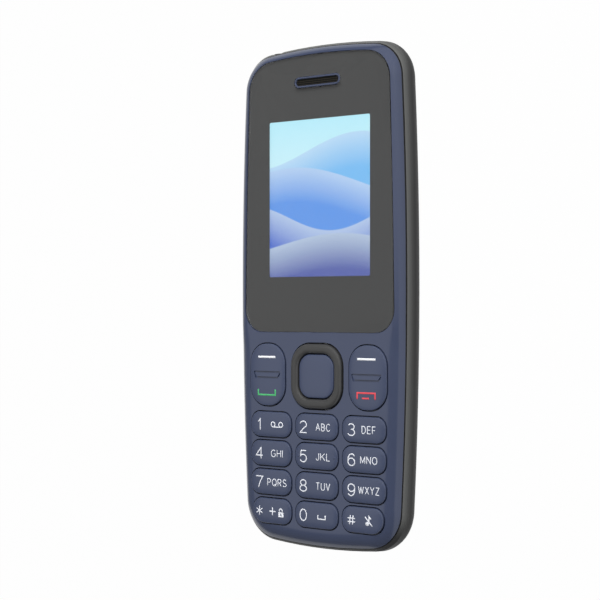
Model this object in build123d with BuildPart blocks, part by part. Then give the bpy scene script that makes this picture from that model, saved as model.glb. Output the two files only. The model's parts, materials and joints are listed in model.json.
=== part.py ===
from build123d import *
from math import cos, radians, sin, sqrt
import os

# Bar phone with a keypad, lying on its back, in millimetres
# +Z is the front face, +Y the earpiece end, +X the right side seen from the front
# The origin is the middle of the flat back

# The length, width and thickness come from what the phone holds: the front's
# row of sockets, display, ring and keys or the back's battery and sockets, and
# the layers from the cover to the front plate

# Outline: bowed sides and arched ends, with rounded corners
top_corner_drop = 1.63
bottom_corner_drop = 1.7
top_corner_draw_in = 1.45
bottom_corner_draw_in = 1.73
top_corner_radius = 8.0
bottom_corner_radius = 9.0
corner_tighten_share = 0.4

# Where the housing halves and the cover meet
cover_edge_drop = 0.65
frame_swell_rise = 2.3
facet_height = 0.95
seam_drop = 0.3
cover_edge_inset = 0.68
facet_inset = 0.13
seam_inset = 0.74
front_round_radius = 3.0
cut_overrun = 1.0

# Back cover: a sloping flank that turns into the flat back
flank_angle = 37.6
cover_round_radius = 4.8
cover_wall = 1.0
cover_gap = 0.15
round_step_shares = (0.0, 0.22, 0.46, 0.72, 1.0)

# Frame and rear housing
frame_wall = 1.9
seam_groove_depth = 0.12
seam_groove_width = 0.2
floor_thickness = 0.9
frame_rise_shares = ((0.3, 0.47), (0.65, 0.1))

# Front housing
plate_thickness = 1.4
lip_wall = 0.8
lip_depth = 1.7
lip_gap = 0.15

# Display lens and the pocket it lies in
lens_side_margin = 2.93
lens_end_margin = 2.45
lens_ring_margin = 2.55
lens_arch_drop = 1.3
lens_side_draw_in = 1.35
lens_top_radius = 6.5
lens_bottom_radius = 5.0
lens_thickness = 0.95
lens_gap = 0.12
mask_thickness = 0.1
pocket_bevel = 0.18

# Display module
screen_width = 28.03
screen_height = 35.04
window_margin = 0.7
panel_thickness = 0.15
panel_margin = 1.2
glass_thickness = 0.9
glass_side_margin = 2.3
glass_top_margin = 1.4
glass_bottom_margin = 6.0
backlight_thickness = 1.3
backlight_margin = 0.7
display_gap = 0.05
display_lift = 0.3
display_socket_gap = 0.17
display_side_margin = 6.565
flex_width = 16.0
flex_length = 4.0
flex_thickness = 0.2

# Earpiece
earpiece_end_margin = 8.45
earpiece_width = 12.7
earpiece_height = 2.4
earpiece_rim = 0.45
earpiece_proud = 0.05
earpiece_gap = 0.1
mesh_thickness = 0.3
mesh_depth = 0.25
mesh_gap = 0.05
sound_slot_width = 10.0
sound_slot_height = 1.0
receiver_width = 14.0
receiver_height = 6.0
receiver_thickness = 2.1

# Keys
row_web = 0.83
column_web = 1.255
ring_to_row = 4.0
ring_to_screen = 14.93
keypad_side_margin = 4.875
keypad_end_margin = 7.81
row_count = 4
outer_key_width = 11.55
middle_key_width = 11.8
bottom_key_width = 11.0
bottom_key_shift = 0.33
key_height = 5.7
key_corner_radius = 2.1
bottom_key_corner_radius = 3.3
key_gap = 0.25
key_proud = 0.5
key_edge_round = 0.5
flange_side = 0.45
flange_end = 0.3
flange_thickness = 0.5
flange_play = 0.1
plunger_radius = 1.2
nib_radius = 0.3
nib_height = 0.15
nib_inset = 0.9

# Two-way keys beside the navigation ring
rocker_web = 1.325
rocker_rise = 0.05
rocker_opening_width = 10.55
rocker_end_reach = 0.1
rocker_corner_radius = 4.8
rocker_tab_width = 3.4
rocker_tab_reach = 0.8
rocker_plunger_inset = 2.9
rocker_underside_rise = 0.2

# Navigation ring, its carrier and the middle key
ring_width = 14.1
ring_height = 14.4
ring_corner_radius = 5.0
ring_proud = 0.8
ring_gap = 0.3
ring_edge_round = 0.45
ring_flange_side = 0.5
ring_flange_thickness = 0.35
ring_flange_drop = 0.45
ring_plunger_radius = 0.55
ring_plunger_inset = 0.15
ring_band_side = 2.05
ring_band_end = 2.15
middle_hole_radius = 3.2
middle_key_gap = 0.2
middle_key_proud = 0.5
carrier_gap = 0.35
carrier_thickness = 0.2
carrier_rail = 1.1

# Circuit board and what lies between it and the keys
board_thickness = 0.8
board_gap = 0.05
board_inset = 3.0
dome_film_thickness = 0.1
dome_film_inset = 4.1
dome_film_end_margin = 1.25
dome_radius = 2.0
small_dome_radius = 1.4
dome_height = 0.25
dome_taper = 60
dome_gap = 0.3
mat_thickness = 0.45
mat_clear = 0.15
mat_hole_gap = 0.5
mat_foot_radius = 0.7

# Battery and its bay
battery_width = 34.0
battery_length = 53.0
battery_thickness = 5.5
battery_edge_round = 1.5
battery_lift = 0.35
battery_side_margin = 6.58
battery_end_margin = 15.25
upper_block_length = 26.3
battery_gap = 0.35
battery_top_gap = 0.1
contact_width = 9.0
contact_depth = 1.7
contact_height = 4.2
contact_x = 9.0
contact_blade_width = 1.2
contact_blade_pitch = 2.6
contact_blade_reach = 0.2

# Card sockets in the recess above the battery
sim_width = 15.4
sim_height = 15.0
sim_thickness = 1.5
sim_x = 9.1
sim_slot_height = 0.9
socket_wall = 0.3
socket_gap = 0.15
card_width = 11.8
card_height = 12.6
card_x = 10.6
card_wall = 1.2
sim_recess_length = 17.6

# Camera and loudspeaker at the back
camera_size = 7.2
camera_end_margin = 11.75
camera_lens_radius = 2.4
camera_lens_length = 1.4
camera_window_radius = 3.2
camera_window_thickness = 0.5
camera_window_depth = 0.1
camera_window_ledge = 0.7
pocket_gap = 0.15
speaker_width = 10.5
speaker_length = 14.0
speaker_thickness = 3.3
speaker_x = -9.6
speaker_wall = 0.4
speaker_corner_radius = 2.0
speaker_mesh_thickness = 0.12
grille_slot_width = 0.9
grille_slot_length = 6.5
grille_slot_pitch = 2.2
grille_slot_count = 4

# Headphone socket, charging socket, motor, microphone and shield
jack_x = -13.0
jack_width = 6.0
jack_height = 4.2
jack_length = 11.6
jack_bore_radius = 1.8
jack_bore_length = 13.3
jack_nose_radius = 2.05
jack_nose_recess = 0.3
jack_rise = 0.7
usb_x = 11.5
usb_width = 7.4
usb_height = 2.5
usb_length = 5.0
usb_rise = 0.55
usb_shell = 0.25
usb_tongue_thickness = 0.6
usb_tongue_side = 1.2
usb_mouth_recess = 0.45
usb_side_slope = 75
motor_radius = 4.0
motor_thickness = 2.5
motor_x = 14.2
motor_gap = 0.18
microphone_radius = 2.0
microphone_thickness = 1.4
microphone_x = 11.0
microphone_end_margin = 6.25
microphone_port_radius = 0.5
shield_width = 22.0
shield_height = 8.0
shield_thickness = 1.4
shield_x = -6.0
shield_end_margin = 8.85

# Housing screws
screw_shaft_radius = 0.7
screw_head_radius = 1.1
screw_head_height = 0.8
screw_socket_radius = 0.5
screw_socket_depth = 0.4
screw_lower_side_margin = 4.18
screw_upper_side_margin = 4.68
screw_lower_end_gap = 4.48
screw_upper_end_margin = 16.75
screw_head_drop = 1.45
screw_length = 4.4
screw_tip_gap = 0.1
boss_radius = 1.5
boss_gap = 0.2

# Thumb notch under the lower end of the frame
notch_width = 8.0
notch_height = 0.9
notch_depth = 0.8

# Widths and places across the phone
column_x = (middle_key_width + outer_key_width) / 2 + column_web
bottom_key_x = column_x - bottom_key_shift
backlight_width = screen_width + 2 * (glass_side_margin + backlight_margin)
half_width = max(
    column_x + outer_key_width / 2 + keypad_side_margin,
    backlight_width / 2 + display_side_margin,
    battery_width / 2 + battery_side_margin,
)
phone_width = 2 * half_width
lens_half_width = half_width - lens_side_margin
earpiece_hole_width = earpiece_width + 2 * earpiece_gap
rocker_x = ring_width / 2 + ring_gap + rocker_web + rocker_opening_width / 2
rocker_opening_height = ring_height + 2 * rocker_end_reach
rocker_plunger_y = rocker_opening_height / 2 - rocker_plunger_inset
middle_hole_width = ring_width - 2 * ring_band_side
middle_hole_height = ring_height - 2 * ring_band_end
bay_half_width = battery_width / 2 + battery_gap
arch_drop_share = top_corner_drop / (half_width - top_corner_draw_in) ** 2
jack_depth = jack_x**2 * arch_drop_share + jack_nose_recess + jack_bore_length + socket_wall

# Lengths and places along the phone
key_pitch_y = key_height + row_web
display_length = screen_height + glass_top_margin + backlight_margin
front_length = (
    jack_depth
    + display_socket_gap
    + display_length
    + ring_to_screen
    + ring_height
    + ring_to_row
    + (row_count - 1) * key_pitch_y
    + keypad_end_margin
)
back_length = battery_end_margin + battery_length + battery_gap + sim_recess_length + upper_block_length
phone_length = max(front_length, back_length)
half_length = phone_length / 2
jack_mouth_y = half_length - jack_x**2 * arch_drop_share - jack_nose_recess
jack_body_back_y = half_length - jack_depth
jack_body_front_y = jack_body_back_y + jack_length
usb_mouth_y = half_length - usb_x**2 * arch_drop_share - usb_mouth_recess
backlight_top_y = jack_body_back_y - display_socket_gap
screen_center_y = backlight_top_y - display_length + screen_height / 2
backlight_bottom_y = screen_center_y - screen_height / 2 - glass_bottom_margin - backlight_margin
motor_y = backlight_top_y + motor_gap + motor_radius
earpiece_y = half_length - earpiece_end_margin
nav_y = screen_center_y - screen_height / 2 - ring_to_screen - ring_height / 2
rocker_y = nav_y + rocker_rise
lens_top_y = half_length - lens_end_margin
earpiece_hole_height = earpiece_height + 2 * earpiece_gap
lens_bottom_y = nav_y + ring_height / 2 + lens_ring_margin
dome_film_top_y = nav_y + ring_height / 2 + dome_film_end_margin
first_row_y = nav_y - ring_height / 2 - ring_to_row
rows_y = [first_row_y - key_pitch_y * row for row in range(row_count)]
sim_recess_top_y = half_length - upper_block_length
bay_top_y = sim_recess_top_y - sim_recess_length
battery_top_y = bay_top_y - battery_gap
battery_center_y = battery_top_y - battery_length / 2
bay_bottom_y = battery_center_y - battery_length / 2 - battery_gap
sim_y = sim_recess_top_y - socket_gap - sim_height / 2
card_y = sim_recess_top_y + card_wall + socket_gap + card_height / 2
speaker_y = sim_recess_top_y + speaker_wall + pocket_gap + speaker_length / 2
camera_y = half_length - camera_end_margin
microphone_y = microphone_end_margin - half_length
shield_y = shield_end_margin - half_length

# Levels above the back
battery_bottom = cover_wall + battery_lift
floor_level = battery_bottom + battery_thickness + battery_top_gap
floor_top = floor_level + floor_thickness
board_level = floor_top + board_gap
board_top = board_level + board_thickness
backlight_level = board_top + display_lift
backlight_top = backlight_level + backlight_thickness
glass_top = backlight_top + glass_thickness
panel_top = glass_top + panel_thickness
plate_level = panel_top + display_gap
front_level = plate_level + plate_thickness
phone_thickness = front_level
cover_edge_level = floor_level - cover_edge_drop
widest_level = cover_edge_level + frame_swell_rise
seam_level = plate_level - seam_drop
facet_level = seam_level - facet_height
pocket_level = front_level - lens_thickness - mask_thickness
dome_film_top = board_top + dome_film_thickness
dome_top = dome_film_top + dome_height
mat_level = dome_top + mat_clear
plunger_level = dome_top + dome_gap + flange_play / 2
flange_level = plate_level - flange_play - flange_thickness
ring_flange_level = plate_level - ring_flange_drop - ring_flange_thickness
camera_body_level = cover_wall + camera_lens_length + cover_gap + pocket_gap
speaker_level = cover_wall + cover_gap + speaker_mesh_thickness
jack_level = board_level + jack_rise
usb_level = board_level + usb_rise
screw_head_level = floor_level - screw_head_drop

# Shape of the back's flank and of the front's rounded edge
flank_normal_x = cos(radians(flank_angle))
flank_normal_z = sin(radians(flank_angle))
flank_reach = (half_width - cover_edge_inset) * flank_normal_x - cover_edge_level * flank_normal_z
round_center_x = (flank_reach - cover_round_radius * (1 - flank_normal_z)) / flank_normal_x
round_sweep = 90 - flank_angle
front_side_inset = seam_inset - front_round_radius + sqrt(
    front_round_radius**2 - (seam_level - front_level + front_round_radius) ** 2
)

# Tables of places
screw_places = [
    (side * (half_width - screw_lower_side_margin), backlight_bottom_y - screw_lower_end_gap)
    for side in (-1, 1)
]
screw_places += [
    (side * (half_width - screw_upper_side_margin), half_length - screw_upper_end_margin)
    for side in (-1, 1)
]
key_places = [(x, y) for y in rows_y[:-1] for x in (-column_x, 0, column_x)]
key_places += [(-bottom_key_x, rows_y[-1]), (0, rows_y[-1]), (bottom_key_x, rows_y[-1])]
rocker_plunger_places = [
    (side * rocker_x, rocker_y + end * rocker_plunger_y) for side in (-1, 1) for end in (-1, 1)
]
ring_plunger_x = ring_width / 2 - ring_plunger_inset
ring_plunger_y = ring_height / 2 - ring_plunger_inset
ring_plunger_places = (
    (-ring_plunger_x, nav_y),
    (ring_plunger_x, nav_y),
    (0, nav_y - ring_plunger_y),
    (0, nav_y + ring_plunger_y),
)

os.makedirs("parts", exist_ok=True)


def body_outline(inset):
    """The phone's outline, drawn in on all sides by an inset."""
    top_x = half_width - top_corner_draw_in - inset
    top_y = half_length - top_corner_drop - inset
    bottom_x = half_width - bottom_corner_draw_in - inset
    bottom_y = -half_length + bottom_corner_drop + inset
    with BuildSketch() as outline:
        with BuildLine():
            ThreePointArc((-bottom_x, bottom_y), (0, inset - half_length), (bottom_x, bottom_y))
            ThreePointArc((bottom_x, bottom_y), (half_width - inset, 0), (top_x, top_y))
            ThreePointArc((top_x, top_y), (0, half_length - inset), (-top_x, top_y))
            ThreePointArc((-top_x, top_y), (inset - half_width, 0), (-bottom_x, bottom_y))
        make_face()
        fillet(outline.vertices().group_by(Axis.Y)[-1], top_corner_radius - corner_tighten_share * inset)
        fillet(outline.vertices().group_by(Axis.Y)[0], bottom_corner_radius - corner_tighten_share * inset)
    return outline.sketch


def lens_outline(margin):
    """The display lens's outline, widened on all sides by a margin."""
    side = lens_half_width + margin
    top_x = side - lens_side_draw_in
    top_y = lens_top_y - lens_arch_drop + margin
    bottom_y = lens_bottom_y - margin
    bow_x = side - lens_side_draw_in / 3
    middle_y = (bottom_y + top_y) / 2
    with BuildSketch() as outline:
        with BuildLine():
            Line((-side, bottom_y), (side, bottom_y))
            ThreePointArc((side, bottom_y), (bow_x, middle_y), (top_x, top_y))
            ThreePointArc((top_x, top_y), (0, lens_top_y + margin), (-top_x, top_y))
            ThreePointArc((-top_x, top_y), (-bow_x, middle_y), (-side, bottom_y))
        make_face()
        fillet(outline.vertices().group_by(Axis.Y)[-1], lens_top_radius + margin)
        fillet(outline.vertices().group_by(Axis.Y)[0], lens_bottom_radius + margin)
    return outline.sketch


def back_hull(wall, top):
    """The rounded back, drawn in by a wall and closed flat at the top."""
    radius = cover_round_radius - wall
    edge_x = (flank_reach - wall + top * flank_normal_z) / flank_normal_x
    with BuildPart() as hull:
        for share in round_step_shares:
            turn = radians(share * round_sweep)
            with BuildSketch(Plane.XY.offset(cover_round_radius - radius * cos(turn))):
                add(body_outline(half_width - round_center_x - radius * sin(turn)))
        loft()
        with BuildSketch(Plane.XY.offset(cover_round_radius - radius * cos(turn))):
            add(body_outline(half_width - round_center_x - radius * sin(turn)))
        with BuildSketch(Plane.XY.offset(top)):
            add(body_outline(half_width - edge_x))
        loft(ruled=True)
    return hull.part


def keyed_outline(width, height, radius, left_radius, right_radius):
    """A key's outline about its own middle, with its lower corners' radii."""
    corners = (
        (-width / 2, height / 2),
        (width / 2, height / 2),
        (width / 2, -height / 2),
        (-width / 2, -height / 2),
    )
    with BuildSketch() as outline:
        with BuildLine():
            FilletPolyline(*corners, radius=(radius, radius, right_radius, left_radius), close=True)
        make_face()
    return outline.sketch


def number_key_outline(column, row, side_margin, end_margin):
    """A number key's outline, widened sideways and endways."""
    width = middle_key_width if column == 0 else outer_key_width
    if row == row_count - 1 and column != 0:
        width = bottom_key_width
    corner = key_corner_radius + end_margin
    left = corner + (bottom_key_corner_radius - key_corner_radius) * (row == row_count - 1 and column == -1)
    right = corner + (bottom_key_corner_radius - key_corner_radius) * (row == row_count - 1 and column == 1)
    return keyed_outline(width + 2 * side_margin, key_height + 2 * end_margin, corner, left, right)


def number_key(column, row):
    """A number key: a cap through the plate, a flange under it and a plunger."""
    place = key_places[row * 3 + column + 1]
    with BuildPart() as key:
        with BuildSketch(Plane.XY.offset(flange_level)):
            with Locations(place):
                add(number_key_outline(column, row, 0, 0))
        extrude(amount=front_level + key_proud - flange_level)
        fillet(key.edges().group_by(Axis.Z)[-1], key_edge_round)
        with BuildSketch(Plane.XY.offset(flange_level)):
            with Locations(place):
                add(number_key_outline(column, row, flange_side, flange_end))
        extrude(amount=flange_thickness)
        with BuildSketch(Plane.XY.offset(plunger_level)):
            with Locations(place):
                Circle(plunger_radius)
        extrude(amount=flange_level - plunger_level)
    return key.part


def rocker_key(side):
    """A two-way key that rocks on two side tabs under the plate."""
    cap_width = rocker_opening_width - 2 * key_gap
    cap_height = rocker_opening_height - 2 * key_gap
    underside = flange_level + rocker_underside_rise
    with BuildPart() as key:
        with BuildSketch(Plane.XY.offset(underside)):
            with Locations((side * rocker_x, rocker_y)):
                RectangleRounded(cap_width, cap_height, rocker_corner_radius - key_gap)
        extrude(amount=front_level + key_proud - underside)
        fillet(key.edges().group_by(Axis.Z)[-1], key_edge_round)
        with BuildSketch(Plane.XY.offset(flange_level)):
            with Locations((side * rocker_x, rocker_y)):
                Rectangle(cap_width + 2 * rocker_tab_reach, rocker_tab_width)
        extrude(amount=flange_thickness)
        with BuildSketch(Plane.XY.offset(plunger_level)):
            for end in (-1, 1):
                with Locations((side * rocker_x, rocker_y + end * rocker_plunger_y)):
                    Circle(plunger_radius)
        extrude(amount=underside - plunger_level)
    return key.part


def socket_cage(x, y, width, height, level):
    """A sheet metal card socket with its slot open towards the battery."""
    with BuildPart() as cage:
        with BuildSketch(Plane.XY.offset(board_level - sim_thickness)):
            with Locations((x, y)):
                Rectangle(width, height)
        extrude(amount=sim_thickness)
        with BuildSketch(Plane.XY.offset(level)):
            with Locations((x, y - socket_wall)):
                Rectangle(width - 2 * socket_wall, height)
        extrude(amount=sim_slot_height, mode=Mode.SUBTRACT)
    return cage.part


# Back cover with its camera hole and loudspeaker slots
with BuildPart() as back_cover:
    add(back_hull(0, cover_edge_level))
    add(back_hull(cover_wall, cover_edge_level + cut_overrun), mode=Mode.SUBTRACT)
    with BuildSketch():
        with Locations((0, camera_y)):
            Circle(camera_window_radius - camera_window_ledge)
    extrude(amount=cover_wall + cut_overrun, mode=Mode.SUBTRACT)
    with BuildSketch():
        with Locations((0, camera_y)):
            Circle(camera_window_radius)
    extrude(amount=camera_window_depth + camera_window_thickness, mode=Mode.SUBTRACT)
    with BuildSketch():
        with Locations((speaker_x, speaker_y)):
            with GridLocations(0, grille_slot_pitch, 1, grille_slot_count):
                SlotOverall(grille_slot_length, grille_slot_width)
    extrude(amount=cover_wall + cut_overrun, mode=Mode.SUBTRACT)
back_cover.part.label = "back_cover"
export_step(back_cover.part, "parts/back_cover.step")

# Camera window, set into the cover from outside
with BuildPart() as camera_window:
    with BuildSketch(Plane.XY.offset(camera_window_depth)):
        with Locations((0, camera_y)):
            Circle(camera_window_radius)
    extrude(amount=camera_window_thickness)
camera_window.part.label = "camera_window"
export_step(camera_window.part, "parts/camera_window.step")

# Rear housing: the dark frame around the phone, the floor under the board
# and the block around the battery
with BuildPart() as rear_housing:
    add(back_hull(cover_wall + cover_gap, cover_edge_level))
    frame_rise = widest_level - cover_edge_level
    for rise_share, inset_share in ((0, 1),) + frame_rise_shares + ((1, 0),):
        with BuildSketch(Plane.XY.offset(cover_edge_level + rise_share * frame_rise)):
            add(body_outline(inset_share * cover_edge_inset))
    loft()
    for level, inset in ((widest_level, 0), (facet_level, facet_inset), (seam_level, seam_inset)):
        with BuildSketch(Plane.XY.offset(level)):
            add(body_outline(inset))
    loft(ruled=True)
    with BuildSketch(Plane.XY.offset(seam_level - seam_groove_depth)):
        add(body_outline(-cut_overrun))
        add(body_outline(seam_inset + seam_groove_width), mode=Mode.SUBTRACT)
    extrude(amount=seam_groove_depth + cut_overrun, mode=Mode.SUBTRACT)
    with BuildSketch(Plane.XY.offset(floor_top)):
        add(body_outline(frame_wall))
    extrude(amount=seam_level - floor_top + cut_overrun, mode=Mode.SUBTRACT)
    with BuildSketch():
        with Locations((0, (bay_bottom_y + bay_top_y) / 2)):
            Rectangle(2 * bay_half_width, bay_top_y - bay_bottom_y)
        with Locations((0, bay_top_y + sim_recess_length / 2)):
            Rectangle(2 * bay_half_width, sim_recess_length)
        with Locations((card_x, card_y)):
            Rectangle(card_width + 2 * socket_gap, card_height + 2 * socket_gap)
    extrude(amount=floor_level, mode=Mode.SUBTRACT)
    with BuildSketch(Plane.XY.offset(floor_level)):
        with Locations((-sim_x, sim_y), (sim_x, sim_y)):
            Rectangle(sim_width + 2 * socket_gap, sim_height + 2 * socket_gap)
        with Locations((card_x, card_y)):
            Rectangle(card_width + 2 * socket_gap, card_height + 2 * socket_gap)
    extrude(amount=floor_thickness, mode=Mode.SUBTRACT)
    with BuildSketch():
        with Locations((0, camera_y)):
            Rectangle(camera_size + 2 * pocket_gap, camera_size + 2 * pocket_gap)
    extrude(amount=floor_level, mode=Mode.SUBTRACT)
    with BuildSketch():
        with Locations((speaker_x, speaker_y)):
            RectangleRounded(
                speaker_width + 2 * pocket_gap,
                speaker_length + 2 * pocket_gap,
                speaker_corner_radius + pocket_gap,
            )
    extrude(
        amount=cover_wall + cover_gap + speaker_mesh_thickness + speaker_thickness + pocket_gap,
        mode=Mode.SUBTRACT,
    )
    with BuildSketch(Plane.XY.offset(jack_level - jack_height / 2 - pocket_gap)):
        with Locations((jack_x, jack_body_back_y - pocket_gap)):
            Rectangle(
                jack_width + 2 * pocket_gap,
                jack_length + 2 * pocket_gap,
                align=(Align.CENTER, Align.MIN),
            )
    extrude(amount=phone_thickness, mode=Mode.SUBTRACT)
    with BuildSketch(Plane.XZ.offset(-jack_body_front_y)):
        with Locations((jack_x, jack_level)):
            Circle(jack_nose_radius + pocket_gap)
    extrude(amount=jack_body_front_y - half_length, mode=Mode.SUBTRACT)
    with BuildSketch(Plane.XY.offset(usb_level - usb_height / 2 - pocket_gap)):
        with Locations((usb_x, usb_mouth_y - usb_length - pocket_gap)):
            Rectangle(
                usb_width + 2 * pocket_gap,
                usb_length + cut_overrun + 2 * pocket_gap,
                align=(Align.CENTER, Align.MIN),
            )
    extrude(amount=usb_height + 2 * pocket_gap, mode=Mode.SUBTRACT)
    with BuildSketch(Plane.XY.offset(board_level - shield_thickness - pocket_gap)):
        with Locations((shield_x, shield_y)):
            Rectangle(shield_width + 2 * pocket_gap, shield_height + 2 * pocket_gap)
    extrude(amount=shield_thickness + pocket_gap, mode=Mode.SUBTRACT)
    with BuildSketch(Plane.XY.offset(board_level - microphone_thickness - pocket_gap)):
        with Locations((microphone_x, microphone_y)):
            Circle(microphone_radius + pocket_gap)
    extrude(amount=microphone_thickness + pocket_gap, mode=Mode.SUBTRACT)
    with BuildSketch(Plane.XZ.offset(-microphone_y)):
        with Locations((microphone_x, board_level - microphone_thickness / 2)):
            Circle(microphone_port_radius)
    extrude(amount=half_length + microphone_y + cut_overrun, mode=Mode.SUBTRACT)
    with BuildSketch():
        with Locations(*screw_places):
            Circle(screw_head_radius + pocket_gap)
    extrude(amount=screw_head_level + screw_head_height, mode=Mode.SUBTRACT)
    with BuildSketch():
        with Locations(*screw_places):
            Circle(screw_shaft_radius + pocket_gap)
    extrude(amount=floor_top, mode=Mode.SUBTRACT)
    with BuildSketch(Plane.XY.offset(cover_edge_level)):
        with Locations((0, -half_length - cut_overrun)):
            Rectangle(notch_width, notch_depth + cut_overrun, align=(Align.CENTER, Align.MIN))
    extrude(amount=notch_height, mode=Mode.SUBTRACT)
rear_housing.part.label = "rear_housing"
export_step(rear_housing.part, "parts/rear_housing.step")

# Front housing: the blue shell with the lens pocket and the key openings
with BuildPart() as front_housing:
    with BuildSketch(Plane.XY.offset(front_level - 2 * front_round_radius)):
        add(body_outline(front_side_inset))
    extrude(amount=2 * front_round_radius)
    fillet(front_housing.edges().group_by(Axis.Z)[-1], front_round_radius)
    with BuildSketch():
        Rectangle(2 * phone_width, 2 * phone_length)
    extrude(amount=seam_level, mode=Mode.SUBTRACT)
    with BuildSketch(Plane.XY.offset(plate_level)):
        add(body_outline(frame_wall + lip_gap + lip_wall))
    extrude(amount=-plate_thickness, mode=Mode.SUBTRACT)
    with BuildSketch(Plane.XY.offset(plate_level)):
        add(body_outline(frame_wall + lip_gap))
        add(body_outline(frame_wall + lip_gap + lip_wall), mode=Mode.SUBTRACT)
        with Locations((jack_x, half_length)):
            Rectangle(jack_width + 4 * pocket_gap, 2 * jack_length, mode=Mode.SUBTRACT)
        with Locations((usb_x, half_length)):
            Rectangle(usb_width + 4 * pocket_gap, 2 * usb_length, mode=Mode.SUBTRACT)
    extrude(amount=-lip_depth)
    with BuildSketch(Plane.XY.offset(plate_level)):
        for column in (-1, 0, 1):
            with Locations(key_places[column - 2]):
                add(number_key_outline(column, row_count - 1, flange_side + key_gap, flange_end + key_gap))
    extrude(amount=-lip_depth, mode=Mode.SUBTRACT)
    with BuildSketch(Plane.XY.offset(board_level)):
        with Locations(*screw_places):
            Circle(boss_radius)
    extrude(amount=plate_level - board_level)
    with BuildSketch(Plane.XY.offset(board_level)):
        with Locations(*screw_places):
            Circle(screw_shaft_radius)
    extrude(
        amount=screw_head_level + screw_head_height + screw_length + screw_tip_gap - board_level,
        mode=Mode.SUBTRACT,
    )
    with BuildSketch(Plane.XY.offset(pocket_level)):
        add(lens_outline(lens_gap))
    extrude(amount=plate_thickness, mode=Mode.SUBTRACT)
    for rise in (-pocket_bevel, pocket_bevel):
        with BuildSketch(Plane.XY.offset(front_level + rise)):
            add(lens_outline(lens_gap + pocket_bevel + rise))
    loft(ruled=True, mode=Mode.SUBTRACT)
    with BuildSketch(Plane.XY.offset(plate_level)):
        with Locations((0, screen_center_y)):
            Rectangle(screen_width + 2 * window_margin, screen_height + 2 * window_margin)
        with Locations((0, earpiece_y)):
            SlotOverall(sound_slot_width, sound_slot_height)
        for row in range(row_count):
            for column in (-1, 0, 1):
                with Locations(key_places[row * 3 + column + 1]):
                    add(number_key_outline(column, row, key_gap, key_gap))
        with Locations((-rocker_x, rocker_y), (rocker_x, rocker_y)):
            RectangleRounded(rocker_opening_width, rocker_opening_height, rocker_corner_radius)
        with Locations((0, nav_y)):
            RectangleRounded(
                ring_width + 2 * ring_gap, ring_height + 2 * ring_gap, ring_corner_radius + ring_gap
            )
    extrude(amount=plate_thickness, mode=Mode.SUBTRACT)
front_housing.part.label = "front_housing"
export_step(front_housing.part, "parts/front_housing.step")

# Film under the lens that frames the screen
with BuildPart() as lens_mask:
    with BuildSketch(Plane.XY.offset(pocket_level)):
        add(lens_outline(0))
        with Locations((0, screen_center_y)):
            Rectangle(screen_width, screen_height, mode=Mode.SUBTRACT)
        with Locations((0, earpiece_y)):
            SlotOverall(earpiece_hole_width, earpiece_hole_height, mode=Mode.SUBTRACT)
    extrude(amount=mask_thickness)
lens_mask.part.label = "lens_mask"
export_step(lens_mask.part, "parts/lens_mask.step")

# Clear lens, flush with the front
with BuildPart() as display_lens:
    with BuildSketch(Plane.XY.offset(front_level - lens_thickness)):
        add(lens_outline(0))
        with Locations((0, earpiece_y)):
            SlotOverall(earpiece_hole_width, earpiece_hole_height, mode=Mode.SUBTRACT)
    extrude(amount=lens_thickness)
display_lens.part.label = "display_lens"
export_step(display_lens.part, "parts/display_lens.step")

# Earpiece: a rim through the lens, a mesh in it and the receiver below
with BuildPart() as earpiece_rim_ring:
    with BuildSketch(Plane.XY.offset(pocket_level)):
        with Locations((0, earpiece_y)):
            SlotOverall(earpiece_width, earpiece_height)
            SlotOverall(
                earpiece_width - 2 * earpiece_rim, earpiece_height - 2 * earpiece_rim, mode=Mode.SUBTRACT
            )
    extrude(amount=front_level + earpiece_proud - pocket_level)
earpiece_rim_ring.part.label = "earpiece_rim"
export_step(earpiece_rim_ring.part, "parts/earpiece_rim.step")

with BuildPart() as earpiece_mesh:
    with BuildSketch(Plane.XY.offset(front_level - mesh_depth - mesh_thickness)):
        with Locations((0, earpiece_y)):
            SlotOverall(
                earpiece_width - 2 * earpiece_rim - 2 * mesh_gap,
                earpiece_height - 2 * earpiece_rim - 2 * mesh_gap,
            )
    extrude(amount=mesh_thickness)
earpiece_mesh.part.label = "earpiece_mesh"
export_step(earpiece_mesh.part, "parts/earpiece_mesh.step")

with BuildPart() as earpiece_receiver:
    with BuildSketch(Plane.XY.offset(panel_top - receiver_thickness)):
        with Locations((0, earpiece_y)):
            RectangleRounded(receiver_width, receiver_height, receiver_height / 3)
    extrude(amount=receiver_thickness)
earpiece_receiver.part.label = "earpiece_receiver"
export_step(earpiece_receiver.part, "parts/earpiece_receiver.step")

# Display module: front panel film, glass, backlight and flexible lead
with BuildPart() as display_panel:
    with BuildSketch(Plane.XY.offset(glass_top)):
        with Locations((0, screen_center_y)):
            Rectangle(screen_width + 2 * panel_margin, screen_height + 2 * panel_margin)
    extrude(amount=panel_thickness)
display_panel.part.label = "display_panel"
export_step(display_panel.part, "parts/display_panel.step")

with BuildPart() as display_glass:
    with BuildSketch(Plane.XY.offset(backlight_top)):
        with Locations((0, backlight_bottom_y + backlight_margin)):
            Rectangle(
                backlight_width - 2 * backlight_margin,
                backlight_top_y - backlight_bottom_y - 2 * backlight_margin,
                align=(Align.CENTER, Align.MIN),
            )
    extrude(amount=glass_thickness)
display_glass.part.label = "display_glass"
export_step(display_glass.part, "parts/display_glass.step")

with BuildPart() as display_backlight:
    with BuildSketch(Plane.XY.offset(backlight_level)):
        with Locations((0, backlight_bottom_y)):
            Rectangle(
                backlight_width, backlight_top_y - backlight_bottom_y, align=(Align.CENTER, Align.MIN)
            )
    extrude(amount=backlight_thickness)
    fillet(display_backlight.edges().filter_by(Axis.Z), backlight_margin)
display_backlight.part.label = "display_backlight"
export_step(display_backlight.part, "parts/display_backlight.step")

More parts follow.
